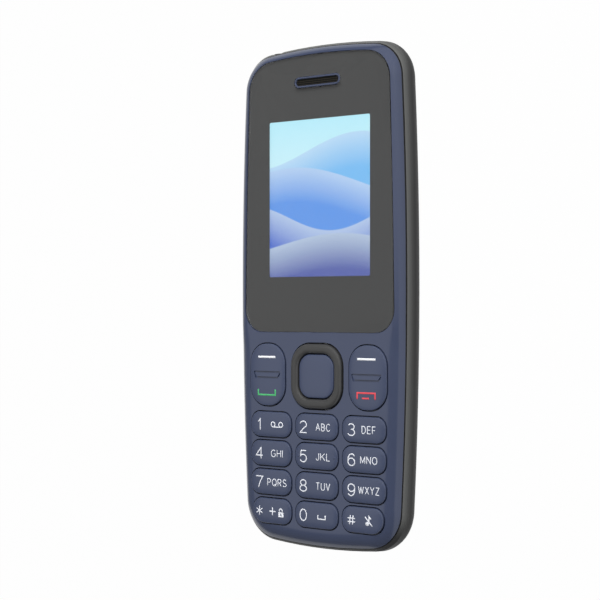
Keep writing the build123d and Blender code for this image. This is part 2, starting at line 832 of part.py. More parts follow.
with BuildPart() as display_flex:
    with BuildSketch(Plane.XY.offset(board_top)):
        with Locations((0, backlight_bottom_y)):
            Rectangle(flex_width, 2 * flex_length)
    extrude(amount=flex_thickness)
display_flex.part.label = "display_flex"
export_step(display_flex.part, "parts/display_flex.step")

# Number keys, three to a row, with a nib each side of the middle one
key_names = ("1", "2", "3", "4", "5", "6", "7", "8", "9", "star", "0", "hash")
for index, key_name in enumerate(key_names):
    with BuildPart() as keypad_key:
        add(number_key(index % 3 - 1, index // 3))
        if key_name == "5":
            with BuildSketch(Plane.XY.offset(front_level + key_proud)):
                for side in (-1, 1):
                    with Locations((side * (middle_key_width / 2 - nib_inset), rows_y[1])):
                        Circle(nib_radius)
            extrude(amount=nib_height)
    keypad_key.part.label = "key_" + key_name
    export_step(keypad_key.part, "parts/key_" + key_name + ".step")

# Two-way keys
with BuildPart() as call_key:
    add(rocker_key(-1))
call_key.part.label = "call_key"
export_step(call_key.part, "parts/call_key.step")

with BuildPart() as end_key:
    add(rocker_key(1))
end_key.part.label = "end_key"
export_step(end_key.part, "parts/end_key.step")

# Navigation ring, the carrier it tilts on and the middle key
with BuildPart() as nav_ring:
    with BuildSketch(Plane.XY.offset(ring_flange_level)):
        with Locations((0, nav_y)):
            RectangleRounded(ring_width, ring_height, ring_corner_radius)
            RectangleRounded(
                middle_hole_width, middle_hole_height, middle_hole_radius, mode=Mode.SUBTRACT
            )
    extrude(amount=front_level + ring_proud - ring_flange_level)
    fillet(nav_ring.edges().group_by(Axis.Z)[-1], ring_edge_round)
    with BuildSketch(Plane.XY.offset(ring_flange_level)):
        with Locations((0, nav_y)):
            RectangleRounded(
                ring_width + 2 * ring_flange_side,
                ring_height + 2 * ring_flange_side,
                ring_corner_radius + ring_flange_side,
            )
            RectangleRounded(
                middle_hole_width, middle_hole_height, middle_hole_radius, mode=Mode.SUBTRACT
            )
    extrude(amount=ring_flange_thickness)
    with BuildSketch(Plane.XY.offset(plunger_level)):
        with Locations(*ring_plunger_places):
            Circle(ring_plunger_radius)
    extrude(amount=ring_flange_level - plunger_level)
nav_ring.part.label = "nav_ring"
export_step(nav_ring.part, "parts/nav_ring.step")

with BuildPart() as nav_carrier:
    with BuildSketch(Plane.XY.offset(ring_flange_level - carrier_gap - carrier_thickness)):
        with Locations((0, nav_y)):
            RectangleRounded(
                middle_hole_width + 2 * (mesh_gap + carrier_rail),
                middle_hole_height + 2 * (mesh_gap + carrier_rail),
                middle_hole_radius + carrier_rail,
            )
            RectangleRounded(
                middle_hole_width + 2 * mesh_gap,
                middle_hole_height + 2 * mesh_gap,
                middle_hole_radius,
                mode=Mode.SUBTRACT,
            )
    extrude(amount=carrier_thickness)
nav_carrier.part.label = "nav_carrier"
export_step(nav_carrier.part, "parts/nav_carrier.step")

with BuildPart() as ok_key:
    with BuildSketch(Plane.XY.offset(flange_level)):
        with Locations((0, nav_y)):
            RectangleRounded(
                middle_hole_width - 2 * middle_key_gap,
                middle_hole_height - 2 * middle_key_gap,
                middle_hole_radius - middle_key_gap,
            )
    extrude(amount=front_level + middle_key_proud - flange_level)
    fillet(ok_key.edges().group_by(Axis.Z)[-1], key_edge_round)
    with BuildSketch(Plane.XY.offset(plunger_level)):
        with Locations((0, nav_y)):
            Circle(plunger_radius)
    extrude(amount=flange_level - plunger_level)
ok_key.part.label = "ok_key"
export_step(ok_key.part, "parts/ok_key.step")

# Keypad mat: a sheet on feet with a hole for every plunger
with BuildPart() as keypad_mat:
    with BuildSketch(Plane.XY.offset(mat_level)):
        add(body_outline(dome_film_inset))
        with Locations((0, dome_film_top_y)):
            Rectangle(
                phone_width, phone_length, align=(Align.CENTER, Align.MIN), mode=Mode.SUBTRACT
            )
        with Locations(*key_places, *rocker_plunger_places, (0, nav_y)):
            Circle(plunger_radius + mat_hole_gap, mode=Mode.SUBTRACT)
        with Locations(*ring_plunger_places):
            Circle(ring_plunger_radius + mat_hole_gap, mode=Mode.SUBTRACT)
    extrude(amount=mat_thickness)
    with BuildSketch(Plane.XY.offset(dome_film_top)):
        with Locations((0, (rows_y[1] + rows_y[2]) / 2)):
            with GridLocations(column_x, key_pitch_y, 2, 3):
                Circle(mat_foot_radius)
    extrude(amount=mat_level - dome_film_top)
keypad_mat.part.label = "keypad_mat"
export_step(keypad_mat.part, "parts/keypad_mat.step")

# Dome film: a film on the board with a click dome under every plunger
with BuildPart() as dome_film:
    with BuildSketch(Plane.XY.offset(board_top)):
        add(body_outline(dome_film_inset))
        with Locations((0, dome_film_top_y)):
            Rectangle(
                phone_width, phone_length, align=(Align.CENTER, Align.MIN), mode=Mode.SUBTRACT
            )
    extrude(amount=dome_film_thickness)
    for radius, places in (
        (dome_radius, (*key_places, *rocker_plunger_places, (0, nav_y))),
        (small_dome_radius, ring_plunger_places),
    ):
        with BuildSketch(Plane.XY.offset(dome_film_top)):
            with Locations(*places):
                Circle(radius)
        extrude(amount=dome_height, taper=dome_taper)
dome_film.part.label = "dome_film"
export_step(dome_film.part, "parts/dome_film.step")

# Main board, cut out for the sockets and the housing bosses
with BuildPart() as main_board:
    with BuildSketch(Plane.XY.offset(board_level)):
        add(body_outline(board_inset))
        with Locations(*screw_places):
            Circle(boss_radius + boss_gap, mode=Mode.SUBTRACT)
        with Locations((jack_x, jack_body_back_y - pocket_gap)):
            Rectangle(
                jack_width + 2 * pocket_gap,
                jack_length + jack_bore_length,
                align=(Align.CENTER, Align.MIN),
                mode=Mode.SUBTRACT,
            )
        with Locations((usb_x, usb_mouth_y - usb_length - pocket_gap)):
            Rectangle(
                usb_width + 2 * pocket_gap,
                2 * usb_length,
                align=(Align.CENTER, Align.MIN),
                mode=Mode.SUBTRACT,
            )
    extrude(amount=board_thickness)
main_board.part.label = "main_board"
export_step(main_board.part, "parts/main_board.step")

# Shield over the radio parts under the lower end of the board
with BuildPart() as shield_can:
    with BuildSketch(Plane.XY.offset(board_level - shield_thickness)):
        with Locations((shield_x, shield_y)):
            Rectangle(shield_width, shield_height)
    extrude(amount=shield_thickness)
    fillet(shield_can.edges().filter_by(Axis.Z), socket_wall)
shield_can.part.label = "shield_can"
export_step(shield_can.part, "parts/shield_can.step")

# Card sockets, reached when the battery is out
with BuildPart() as sim_socket_left:
    add(socket_cage(-sim_x, sim_y, sim_width, sim_height, board_level - sim_thickness + socket_wall))
sim_socket_left.part.label = "sim_socket_left"
export_step(sim_socket_left.part, "parts/sim_socket_left.step")

with BuildPart() as sim_socket_right:
    add(socket_cage(sim_x, sim_y, sim_width, sim_height, board_level - sim_thickness + socket_wall))
sim_socket_right.part.label = "sim_socket_right"
export_step(sim_socket_right.part, "parts/sim_socket_right.step")

with BuildPart() as card_socket:
    add(socket_cage(card_x, card_y, card_width, card_height, board_level - sim_thickness + socket_wall))
card_socket.part.label = "card_socket"
export_step(card_socket.part, "parts/card_socket.step")

# Battery and the spring contacts at its upper end
with BuildPart() as battery:
    with BuildSketch(Plane.XY.offset(battery_bottom)):
        with Locations((0, battery_center_y)):
            Rectangle(battery_width, battery_length)
    extrude(amount=battery_thickness)
    fillet(battery.edges().filter_by(Axis.Y), battery_edge_round)
battery.part.label = "battery"
export_step(battery.part, "parts/battery.step")

with BuildPart() as battery_contacts:
    with BuildSketch(Plane.XY.offset(floor_level)):
        with Locations((contact_x, battery_top_y + battery_gap)):
            Rectangle(contact_width, contact_depth, align=(Align.CENTER, Align.MIN))
    extrude(amount=-contact_height)
    with BuildSketch(Plane.XY.offset(floor_level - contact_height / 4)):
        with Locations((contact_x, battery_top_y + battery_gap)):
            with GridLocations(contact_blade_pitch, 0, 3, 1):
                Rectangle(contact_blade_width, 2 * contact_blade_reach)
    extrude(amount=-contact_height / 2)
battery_contacts.part.label = "battery_contacts"
export_step(battery_contacts.part, "parts/battery_contacts.step")

# Camera and loudspeaker, in pockets behind the cover
with BuildPart() as camera_module:
    with BuildSketch(Plane.XY.offset(floor_level)):
        with Locations((0, camera_y)):
            RectangleRounded(camera_size, camera_size, pocket_gap)
    extrude(amount=-(floor_level - camera_body_level))
    with BuildSketch(Plane.XY.offset(camera_body_level)):
        with Locations((0, camera_y)):
            Circle(camera_lens_radius)
    extrude(amount=-camera_lens_length)
camera_module.part.label = "camera_module"
export_step(camera_module.part, "parts/camera_module.step")

with BuildPart() as loudspeaker:
    with BuildSketch(Plane.XY.offset(speaker_level)):
        with Locations((speaker_x, speaker_y)):
            RectangleRounded(speaker_width, speaker_length, speaker_corner_radius)
    extrude(amount=speaker_thickness)
loudspeaker.part.label = "loudspeaker"
export_step(loudspeaker.part, "parts/loudspeaker.step")

with BuildPart() as speaker_mesh:
    with BuildSketch(Plane.XY.offset(speaker_level - speaker_mesh_thickness)):
        with Locations((speaker_x, speaker_y)):
            RectangleRounded(speaker_width, speaker_length, speaker_corner_radius)
    extrude(amount=speaker_mesh_thickness)
speaker_mesh.part.label = "speaker_mesh"
export_step(speaker_mesh.part, "parts/speaker_mesh.step")

# Headphone socket with its bore, at the upper end
with BuildPart() as audio_jack:
    with BuildSketch(Plane.XY.offset(jack_level - jack_height / 2)):
        with Locations((jack_x, jack_body_back_y)):
            Rectangle(jack_width, jack_length, align=(Align.CENTER, Align.MIN))
    extrude(amount=jack_height)
    with BuildSketch(Plane.XZ.offset(-jack_body_front_y)):
        with Locations((jack_x, jack_level)):
            Circle(jack_nose_radius)
    extrude(amount=jack_body_front_y - jack_mouth_y)
    with BuildSketch(Plane.XZ.offset(-jack_mouth_y)):
        with Locations((jack_x, jack_level)):
            Circle(jack_bore_radius)
    extrude(amount=jack_bore_length, mode=Mode.SUBTRACT)
audio_jack.part.label = "audio_jack"
export_step(audio_jack.part, "parts/audio_jack.step")

# Charging socket: a metal shell with its tongue, at the upper end
with BuildPart() as usb_port:
    with BuildSketch(Plane.XZ.offset(-usb_mouth_y)):
        with Locations((usb_x, usb_level)):
            Trapezoid(usb_width, usb_height, usb_side_slope, rotation=180)
    extrude(amount=usb_length)
    with BuildSketch(Plane.XZ.offset(-usb_mouth_y)):
        with Locations((usb_x, usb_level)):
            Trapezoid(
                usb_width - 2 * usb_shell, usb_height - 2 * usb_shell, usb_side_slope, rotation=180
            )
            Rectangle(
                usb_width - 2 * usb_shell - 2 * usb_tongue_side,
                usb_tongue_thickness,
                mode=Mode.SUBTRACT,
            )
    extrude(amount=usb_length - usb_shell, mode=Mode.SUBTRACT)
usb_port.part.label = "usb_port"
export_step(usb_port.part, "parts/usb_port.step")

# Vibration motor and microphone
with BuildPart() as vibration_motor:
    with BuildSketch(Plane.XY.offset(board_top)):
        with Locations((motor_x, motor_y)):
            Circle(motor_radius)
    extrude(amount=motor_thickness)
vibration_motor.part.label = "vibration_motor"
export_step(vibration_motor.part, "parts/vibration_motor.step")

with BuildPart() as microphone:
    with BuildSketch(Plane.XY.offset(board_level - microphone_thickness)):
        with Locations((microphone_x, microphone_y)):
            Circle(microphone_radius)
    extrude(amount=microphone_thickness)
microphone.part.label = "microphone"
export_step(microphone.part, "parts/microphone.step")

# Screws that hold the housing halves together
for index, place in enumerate(screw_places):
    with BuildPart() as housing_screw:
        with BuildSketch(Plane.XY.offset(screw_head_level)):
            with Locations(place):
                Circle(screw_head_radius)
        extrude(amount=screw_head_height)
        with BuildSketch(Plane.XY.offset(screw_head_level + screw_head_height)):
            with Locations(place):
                Circle(screw_shaft_radius)
        extrude(amount=screw_length)
        with BuildSketch(Plane.XY.offset(screw_head_level)):
            with Locations(place):
                RegularPolygon(screw_socket_radius, 6)
        extrude(amount=screw_socket_depth, mode=Mode.SUBTRACT)
    housing_screw.part.label = f"housing_screw_{index + 1}"
    export_step(housing_screw.part, f"parts/housing_screw_{index + 1}.step")
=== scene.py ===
"""Feature phone with a keypad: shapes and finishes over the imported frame."""
from __future__ import annotations

import json
import logging
import math
from dataclasses import dataclass, replace
from enum import Enum
from typing import Callable, Sequence

import bpy
import numpy as np
from bpy.types import Material, Mesh, NodeSocket, NodeTree, Object
from mathutils import Matrix, Vector

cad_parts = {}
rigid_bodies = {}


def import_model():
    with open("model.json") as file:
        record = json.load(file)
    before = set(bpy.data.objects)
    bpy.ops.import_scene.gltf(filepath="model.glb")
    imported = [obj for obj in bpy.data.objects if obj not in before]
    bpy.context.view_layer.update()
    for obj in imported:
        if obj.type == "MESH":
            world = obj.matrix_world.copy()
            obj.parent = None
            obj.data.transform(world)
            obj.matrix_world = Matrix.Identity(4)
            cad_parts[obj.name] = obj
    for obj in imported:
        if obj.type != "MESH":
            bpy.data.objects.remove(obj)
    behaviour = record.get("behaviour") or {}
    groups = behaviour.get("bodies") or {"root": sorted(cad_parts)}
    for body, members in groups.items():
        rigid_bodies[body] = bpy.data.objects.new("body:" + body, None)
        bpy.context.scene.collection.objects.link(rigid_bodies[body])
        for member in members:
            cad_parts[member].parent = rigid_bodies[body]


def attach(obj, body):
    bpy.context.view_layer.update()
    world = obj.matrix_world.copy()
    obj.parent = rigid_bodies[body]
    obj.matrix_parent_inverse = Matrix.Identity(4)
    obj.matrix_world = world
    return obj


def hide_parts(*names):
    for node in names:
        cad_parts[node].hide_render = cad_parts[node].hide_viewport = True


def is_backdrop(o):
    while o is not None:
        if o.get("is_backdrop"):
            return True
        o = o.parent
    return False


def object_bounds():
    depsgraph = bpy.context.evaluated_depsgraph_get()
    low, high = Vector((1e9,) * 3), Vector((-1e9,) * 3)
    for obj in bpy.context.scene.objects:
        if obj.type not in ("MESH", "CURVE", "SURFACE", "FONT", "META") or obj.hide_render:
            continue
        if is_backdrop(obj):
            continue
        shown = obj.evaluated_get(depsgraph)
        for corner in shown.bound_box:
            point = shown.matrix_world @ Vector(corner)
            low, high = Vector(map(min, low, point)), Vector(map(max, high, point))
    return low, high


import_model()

MM = 0.001
WHITE = (1.0, 1.0, 1.0, 1.0)
SMOOTH, CRISP = 35.0, 50.0  # degrees: an edge that turns more stays sharp
log = logging.getLogger("phone")


# Colours and nodes

def linear(code: str, gain: float = 1.0) -> tuple[float, ...]:
    """Turn an sRGB hex colour into linear light.

    Args:
        code: The colour as six hex digits after a hash sign.
        gain: What its light is multiplied by, up to white.

    Returns:
        Linear red, green and blue, and an alpha of one.
    """
    shares = [int(code[i : i + 2], 16) / 255 for i in (1, 3, 5)]
    light = [c / 12.92 if c <= 0.04045 else ((c + 0.055) / 1.055) ** 2.4 for c in shares]
    return (*(min(1.0, c * gain) for c in light), 1.0)


def scale(size: float) -> float:
    """Return the scale that draws a pattern at a size in millimetres."""
    return 1 / (size * MM)


def add_node(
    tree: NodeTree, kind: str, inputs: dict | None = None, out: str | int = 0, **settings: object
) -> NodeSocket | None:
    """Add a node with its settings, and its inputs as values or links.

    Args:
        tree: The node tree that gets the node.
        kind: The node's type name without its first words, ShaderNode.
        inputs: For each input, a value or the socket that feeds it.
        out: The output that is wanted.
        settings: Attribute values of the node.

    Returns:
        The output's socket, or None for a node that has none.
    """
    node = tree.nodes.new("ShaderNode" + kind)
    for name, value in settings.items():
        setattr(node, name, value)
    for name, value in (inputs or {}).items():
        if isinstance(value, NodeSocket):
            tree.links.new(value, node.inputs[name])
        else:
            node.inputs[name].default_value = value
    return node.outputs[out] if len(node.outputs) else None


def share_between(tree: NodeTree, value: NodeSocket, low: float, high: float, soft: float) -> NodeSocket:
    """Give 1 where a value lies between two limits and 0 elsewhere, with soft ends.

    Args:
        tree: The node tree.
        value: The value that is tested.
        low: The lower limit.
        high: The upper limit.
        soft: How far outside a limit the share reaches 0.

    Returns:
        The share.
    """
    ends = ((low - soft, low), (high + soft, high))
    sides = [add_node(tree, "MapRange", {"Value": value, "From Min": a, "From Max": b}) for a, b in ends]
    return add_node(tree, "Math", {0: sides[0], 1: sides[1]}, operation="MULTIPLY")


@dataclass(frozen=True)
class Finish:
    """A finish: what a surface is made of, and the nodes that show it."""

    name: str

    def surface(self, tree: NodeTree, place: NodeSocket) -> dict[str, object]:
        """Return the shader's inputs.

        Args:
            tree: The material's tree.
            place: Object coordinates.

        Returns:
            Values and sockets for the shader's inputs, by name.
        """
        raise NotImplementedError

    def shader(self, tree: NodeTree, place: NodeSocket) -> NodeSocket:
        """Return the shader that the surface gets."""
        return add_node(tree, "BsdfPrincipled", self.surface(tree, place))

    def build(self) -> Material:
        """Build the shader in a new material.

        Returns:
            The material.
        """
        material = bpy.data.materials.new(self.name)
        material.use_nodes = True
        tree = material.node_tree
        tree.nodes.clear()
        place = add_node(tree, "TexCoord", out="Object")
        add_node(tree, "OutputMaterial", {"Surface": self.shader(tree, place)})
        return material


@dataclass(frozen=True)
class MouldedPlastic(Finish):
    """Moulded ABS or polycarbonate: an even colour with a fine spark-eroded grain.

    The grain gives a soft, slightly broken sheen, and the colour drifts a
    little across the piece, as pigment does in a moulding.
    """

    colour: str
    roughness: float = 0.42
    grain_mm: float = 0.22
    grain_depth: float = 0.012
    cloud_mm: float = 9.0
    drift: float = 0.05
    ior: float = 1.53
    specular: float = 0.5
    swing: float = 0.06
    # A painted highlight: a paler colour mixed into the upper sides, by height and by the normal.
    painted_highlight: str = ""
    painted_highlight_rise: tuple[float, float] = (8.0, 10.9)
    painted_highlight_power: float = 1.8

    def surface(self, tree: NodeTree, place: NodeSocket) -> dict[str, object]:
        """Return the inputs: the cloud drifts the colour, the grain breaks the sheen.

        Args:
            tree: The material's tree.
            place: Object coordinates.

        Returns:
            Values and sockets for the shader's inputs, by name.
        """
        grain = add_node(tree, "TexNoise", {"Vector": place, "Scale": scale(self.grain_mm), "Detail": 3.0})
        cloud = add_node(tree, "TexNoise", {"Vector": place, "Scale": scale(self.cloud_mm), "Detail": 2.0})
        tones = {0: cloud, 6: linear(self.colour, 1 - self.drift), 7: linear(self.colour, 1 + self.drift)}
        colour = add_node(tree, "Mix", tones, 2, data_type="RGBA")
        low, high = self.roughness - self.swing, self.roughness + self.swing
        rough = {"Value": grain, "To Min": low, "To Max": high}
        bump = {"Strength": 0.35, "Distance": self.grain_depth * MM, "Height": grain}
        return {
            # On pieces that get one, a painted highlight on the sides.
            "Base Color": self.paint_edge_highlight(tree, colour) if self.painted_highlight else colour,
            "Roughness": add_node(tree, "MapRange", rough),
            "IOR": self.ior,
            "Specular IOR Level": self.specular,
            "Normal": add_node(tree, "Bump", bump),
        }

    def paint_edge_highlight(self, tree: NodeTree, colour: NodeSocket) -> NodeSocket:
        """Paint a highlight on the sides up to the seam: a paler colour, mixed in more towards the top.

        The share is a power of the way up. It leaves out the level faces and
        fades towards the foot.

        Args:
            tree: The material's tree.
            colour: The colour of the grained faces.

        Returns:
            The colour of all faces.
        """
        coords = add_node(tree, "TexCoord").node.outputs
        height = add_node(tree, "SeparateXYZ", {0: coords["Object"]}, 2)
        _, along, lean = add_node(tree, "SeparateXYZ", {0: coords["Normal"]}).node.outputs
        low, high = (level * MM for level in self.painted_highlight_rise)
        way = add_node(tree, "MapRange", {"Value": height, "From Min": low, "From Max": high})
        share = add_node(tree, "Math", {0: way, 1: self.painted_highlight_power}, operation="POWER")
        for value, none, full in ((lean, 0.9, 0.7), (along, -0.5, -0.1)):
            part = add_node(tree, "MapRange", {"Value": value, "From Min": none, "From Max": full})
            share = add_node(tree, "Math", {0: share, 1: part}, operation="MULTIPLY")
        return add_node(tree, "Mix", {0: share, 6: colour, 7: linear(self.painted_highlight)}, 2, data_type="RGBA")


@dataclass(frozen=True)
class WovenCover(Finish):
    """Moulded polycarbonate with a fine diagonal weave etched in its mould.

    The weave breaks the highlight into a soft cross-hatched sheen. The real
    pitch is about 0.2 mm; it is drawn at 0.62 mm so that it still shows.
    """

    colour: str
    roughness: float = 0.42
    pitch_mm: float = 0.62
    depth_mm: float = 0.035
    specular: float = 0.3
    shades: tuple[float, float] = (0.84, 1.2)
    sheen: tuple[float, float] = (0.08, -0.06)

    def surface(self, tree: NodeTree, place: NodeSocket) -> dict[str, object]:
        """Return the inputs: the weave is the product of two crossed sine waves.

        Args:
            tree: The material's tree.
            place: Object coordinates.

        Returns:
            Values and sockets for the shader's inputs, by name.
        """
        waves = []
        for turn in (45, -45):
            turned = add_node(tree, "Mapping", {"Vector": place, "Rotation": (0.0, 0.0, math.radians(turn))})
            bands = {"Vector": turned, "Scale": math.pi / 10 * scale(self.pitch_mm)}
            waves.append(add_node(tree, "TexWave", bands, "Fac", wave_type="BANDS", bands_direction="X"))
        weave = add_node(tree, "Math", {0: waves[0], 1: waves[1]}, operation="MULTIPLY")
        low, high = (linear(self.colour, shade) for shade in self.shades)
        dull, bright = (self.roughness + step for step in self.sheen)
        rough = {"Value": weave, "To Min": dull, "To Max": bright}
        bump = {"Strength": 0.5, "Distance": self.depth_mm * MM, "Height": weave}
        return {
            "Base Color": add_node(tree, "Mix", {0: weave, 6: low, 7: high}, 2, data_type="RGBA"),
            "Roughness": add_node(tree, "MapRange", rough),
            "IOR": 1.58,
            "Specular IOR Level": self.specular,
            "Normal": add_node(tree, "Bump", bump),
        }


@dataclass(frozen=True)
class ClearAcrylic(Finish):
    """Cast acrylic, polished on both sides: a clear, hard, sharp reflection."""

    tint: str = "#f4f5f6"
    roughness: float = 0.03
    ripple_mm: float = 14.0

    def surface(self, tree: NodeTree, place: NodeSocket) -> dict[str, object]:
        """Return the inputs: clear, with a faint long ripple from the polishing.

        Args:
            tree: The material's tree.
            place: Object coordinates.

        Returns:
            Values and sockets for the shader's inputs, by name.
        """
        ripple = add_node(tree, "TexNoise", {"Vector": place, "Scale": scale(self.ripple_mm), "Detail": 1.0})
        return {
            "Base Color": linear(self.tint),
            "Roughness": self.roughness,
            "IOR": 1.49,
            "Transmission Weight": 1.0,
            "Normal": add_node(tree, "Bump", {"Strength": 0.05, "Distance": 0.05 * MM, "Height": ripple}),
        }

    def shader(self, tree: NodeTree, place: NodeSocket) -> NodeSocket:
        """Return the shader, which lets the lamps through.

        Args:
            tree: The material's tree.
            place: Object coordinates.

        Returns:
            The shader.
        """
        clear = add_node(tree, "BsdfTransparent", {"Color": linear(self.tint)})
        shadow = add_node(tree, "LightPath", out="Is Shadow Ray")
        return add_node(tree, "MixShader", {0: shadow, 1: super().shader(tree, place), 2: clear})


@dataclass(frozen=True)
class PrintedInk(Finish):
    """Pad-printed ink: a flat, slightly raised film with a low sheen."""

    colour: str
    roughness: float = 0.5
    # Painted glow: emission that brightens the ink, though no lamp lies behind it.
    painted_glow: float = 0.0
    speck_mm: float = 0.3
    dim: float = 0.93

    def surface(self, tree: NodeTree, place: NodeSocket) -> dict[str, object]:
        """Return the inputs: the colour with fine darker specks.

        Args:
            tree: The material's tree.
            place: Object coordinates.

        Returns:
            Values and sockets for the shader's inputs, by name.
        """
        speck = add_node(tree, "TexNoise", {"Vector": place, "Scale": scale(self.speck_mm), "Detail": 2.0})
        tones = {0: speck, 6: linear(self.colour, self.dim), 7: linear(self.colour)}
        return {
            "Base Color": add_node(tree, "Mix", tones, 2, data_type="RGBA"),
            "Roughness": self.roughness,
            "IOR": 1.5,
            "Emission Color": linear(self.colour),
            "Emission Strength": self.painted_glow,
        }


@dataclass(frozen=True)
class PressedMetal(Finish):
    """Tinned or nickelled sheet, pressed and brushed: a streaked metal sheen."""

    colour: str
    roughness: float = 0.3
    streak_mm: float = 0.15
    stretch: float = 0.06
    sheen: tuple[float, float] = (-0.1, 0.12)

    def surface(self, tree: NodeTree, place: NodeSocket) -> dict[str, object]:
        """Return the inputs: a noise drawn out along the phone makes the streaks.

        Args:
            tree: The material's tree.
            place: Object coordinates.

        Returns:
            Values and sockets for the shader's inputs, by name.
        """
        drawn = add_node(tree, "Mapping", {"Vector": place, "Scale": (1.0, self.stretch, 1.0)})
        streak = add_node(tree, "TexNoise", {"Vector": drawn, "Scale": scale(self.streak_mm), "Detail": 3.0})
        bright, dull = (self.roughness + step for step in self.sheen)
        rough = {"Value": streak, "To Min": bright, "To Max": dull}
        return {
            "Base Color": linear(self.colour),
            "Metallic": 1.0,
            "Roughness": add_node(tree, "MapRange", rough),
            "Normal": add_node(tree, "Bump", {"Strength": 0.2, "Distance": 0.005 * MM, "Height": streak}),
        }


@dataclass(frozen=True)
class DottedMesh(Finish):
    """Woven acoustic mesh: a dark cloth with open holes in a square grid."""

    thread: str
    hole: str
    pitch_mm: float = 0.42

    def surface(self, tree: NodeTree, place: NodeSocket) -> dict[str, object]:
        """Return the inputs: a hole is where a cell's middle is near.

        Args:
            tree: The material's tree.
            place: Object coordinates.

        Returns:
            Values and sockets for the shader's inputs, by name.
        """
        cells = add_node(tree, "VectorMath", {0: place, "Scale": scale(self.pitch_mm)}, operation="SCALE")
        part = add_node(tree, "VectorMath", {0: cells}, operation="FRACTION")
        flat = add_node(tree, "VectorMath", {0: part, 1: (1.0, 1.0, 0.0)}, operation="MULTIPLY")
        reach = add_node(tree, "VectorMath", {0: flat, 1: (0.5, 0.5, 0.0)}, "Value", operation="DISTANCE")
        closed = add_node(tree, "MapRange", {"Value": reach, "From Min": 0.26, "From Max": 0.34})
        tones = {0: closed, 6: linear(self.hole), 7: linear(self.thread)}
        return {
            "Base Color": add_node(tree, "Mix", tones, 2, data_type="RGBA"),
            "Roughness": 0.6,
            "Specular IOR Level": 0.12,
            "Normal": add_node(tree, "Bump", {"Strength": 0.6, "Distance": 0.05 * MM, "Height": closed}),
        }


@dataclass(frozen=True)
class CameraGlass(Finish):
    """Coated glass over a camera: a dark pane with a black pupil in printed rings.

    The coating gives a hard, dark reflection. The rings are printed under it.
    """

    centre: tuple[float, float]
    pane: str = "#0c0d10"
    rings: tuple[tuple[float, float, str], ...] = (
        (2.5, 2.68, "#3c3f45"),
        (1.2, 1.75, "#1d2026"),
        (0.0, 0.85, "#020308"),
    )
    edge_mm: float = 0.05

    def surface(self, tree: NodeTree, place: NodeSocket) -> dict[str, object]:
        """Return the inputs: each ring lies between two distances from the centre.

        Args:
            tree: The material's tree.
            place: Object coordinates.

        Returns:
            Values and sockets for the shader's inputs, by name.
        """
        flat = add_node(tree, "VectorMath", {0: place, 1: (1.0, 1.0, 0.0)}, operation="MULTIPLY")
        middle = (self.centre[0] * MM, self.centre[1] * MM, 0.0)
        reach = add_node(tree, "VectorMath", {0: flat, 1: middle}, "Value", operation="DISTANCE")
        colour = linear(self.pane)
        for low, high, code in self.rings:
            share = share_between(tree, reach, low * MM, high * MM, self.edge_mm * MM)
            colour = add_node(tree, "Mix", {0: share, 6: colour, 7: linear(code)}, 2, data_type="RGBA")
        return {"Base Color": colour, "Roughness": 0.08, "IOR": 1.5, "Specular IOR Level": 0.3}


@dataclass(frozen=True)
class LitScreen(Finish):
    """A backlit liquid crystal picture: rolling hills of light under a pale sky."""

    centre: tuple[float, float]
    width: float
    height: float
    strength: float = 1.0
    sky: tuple[str, str] = ("#f2feff", "#b4f0fe")
    haze: str = "#d8effa"
    hills: tuple[tuple[float, float, float, float, str], ...] = (
        (0.30, 0.10, 3.1, 0.4, "#62b8f4"),
        (0.08, 0.12, 2.3, 2.2, "#3a8ce8"),
        (-0.12, 0.09, 3.7, 4.3, "#2c60cc"),
        (-0.30, 0.07, 2.6, 1.1, "#2440a0"),
    )

    def surface(self, tree: NodeTree, place: NodeSocket) -> dict[str, object]:
        """Return the inputs: each hill starts below a sine line across the picture.

        Args:
            tree: The material's tree.
            place: Object coordinates.

        Returns:
            Values and sockets for the shader's inputs, by name.
        """
        (x, y), width, height = self.centre, self.width, self.height
        fit = {"Location": (-x / width, -y / height, 0.0), "Scale": (scale(width), scale(height), 1.0)}
        unit = add_node(tree, "Mapping", {"Vector": place, **fit})
        across, up, _ = add_node(tree, "SeparateXYZ", {0: unit}).node.outputs
        rise = add_node(tree, "MapRange", {"Value": up, "From Min": -0.5, "From Max": 0.5})
        tones = {0: rise, 6: linear(self.sky[0]), 7: linear(self.sky[1])}
        picture = add_node(tree, "Mix", tones, 2, data_type="RGBA")
        for level, swing, count, start, colour in self.hills:
            turned = add_node(tree, "Math", {0: across, 1: count, 2: start}, operation="MULTIPLY_ADD")
            wave = add_node(tree, "Math", {0: turned}, operation="SINE")
            line = add_node(tree, "Math", {0: wave, 1: swing, 2: level}, operation="MULTIPLY_ADD")
            below = add_node(tree, "Math", {0: line, 1: up}, operation="SUBTRACT")
            mask = add_node(tree, "MapRange", {"Value": below, "From Min": -0.004, "From Max": 0.004})
            depth = {"Value": below, "From Min": 0.0, "From Max": 0.22, "To Min": 0.4, "To Max": 1.0}
            tones = {0: add_node(tree, "MapRange", depth), 6: linear(self.haze), 7: linear(colour)}
            hill = add_node(tree, "Mix", tones, 2, data_type="RGBA")
            picture = add_node(tree, "Mix", {0: mask, 6: picture, 7: hill}, 2, data_type="RGBA")
        return {
            "Base Color": (0.01, 0.01, 0.012, 1.0),
            "Roughness": 0.35,
            "Emission Color": picture,
            "Emission Strength": self.strength,
        }


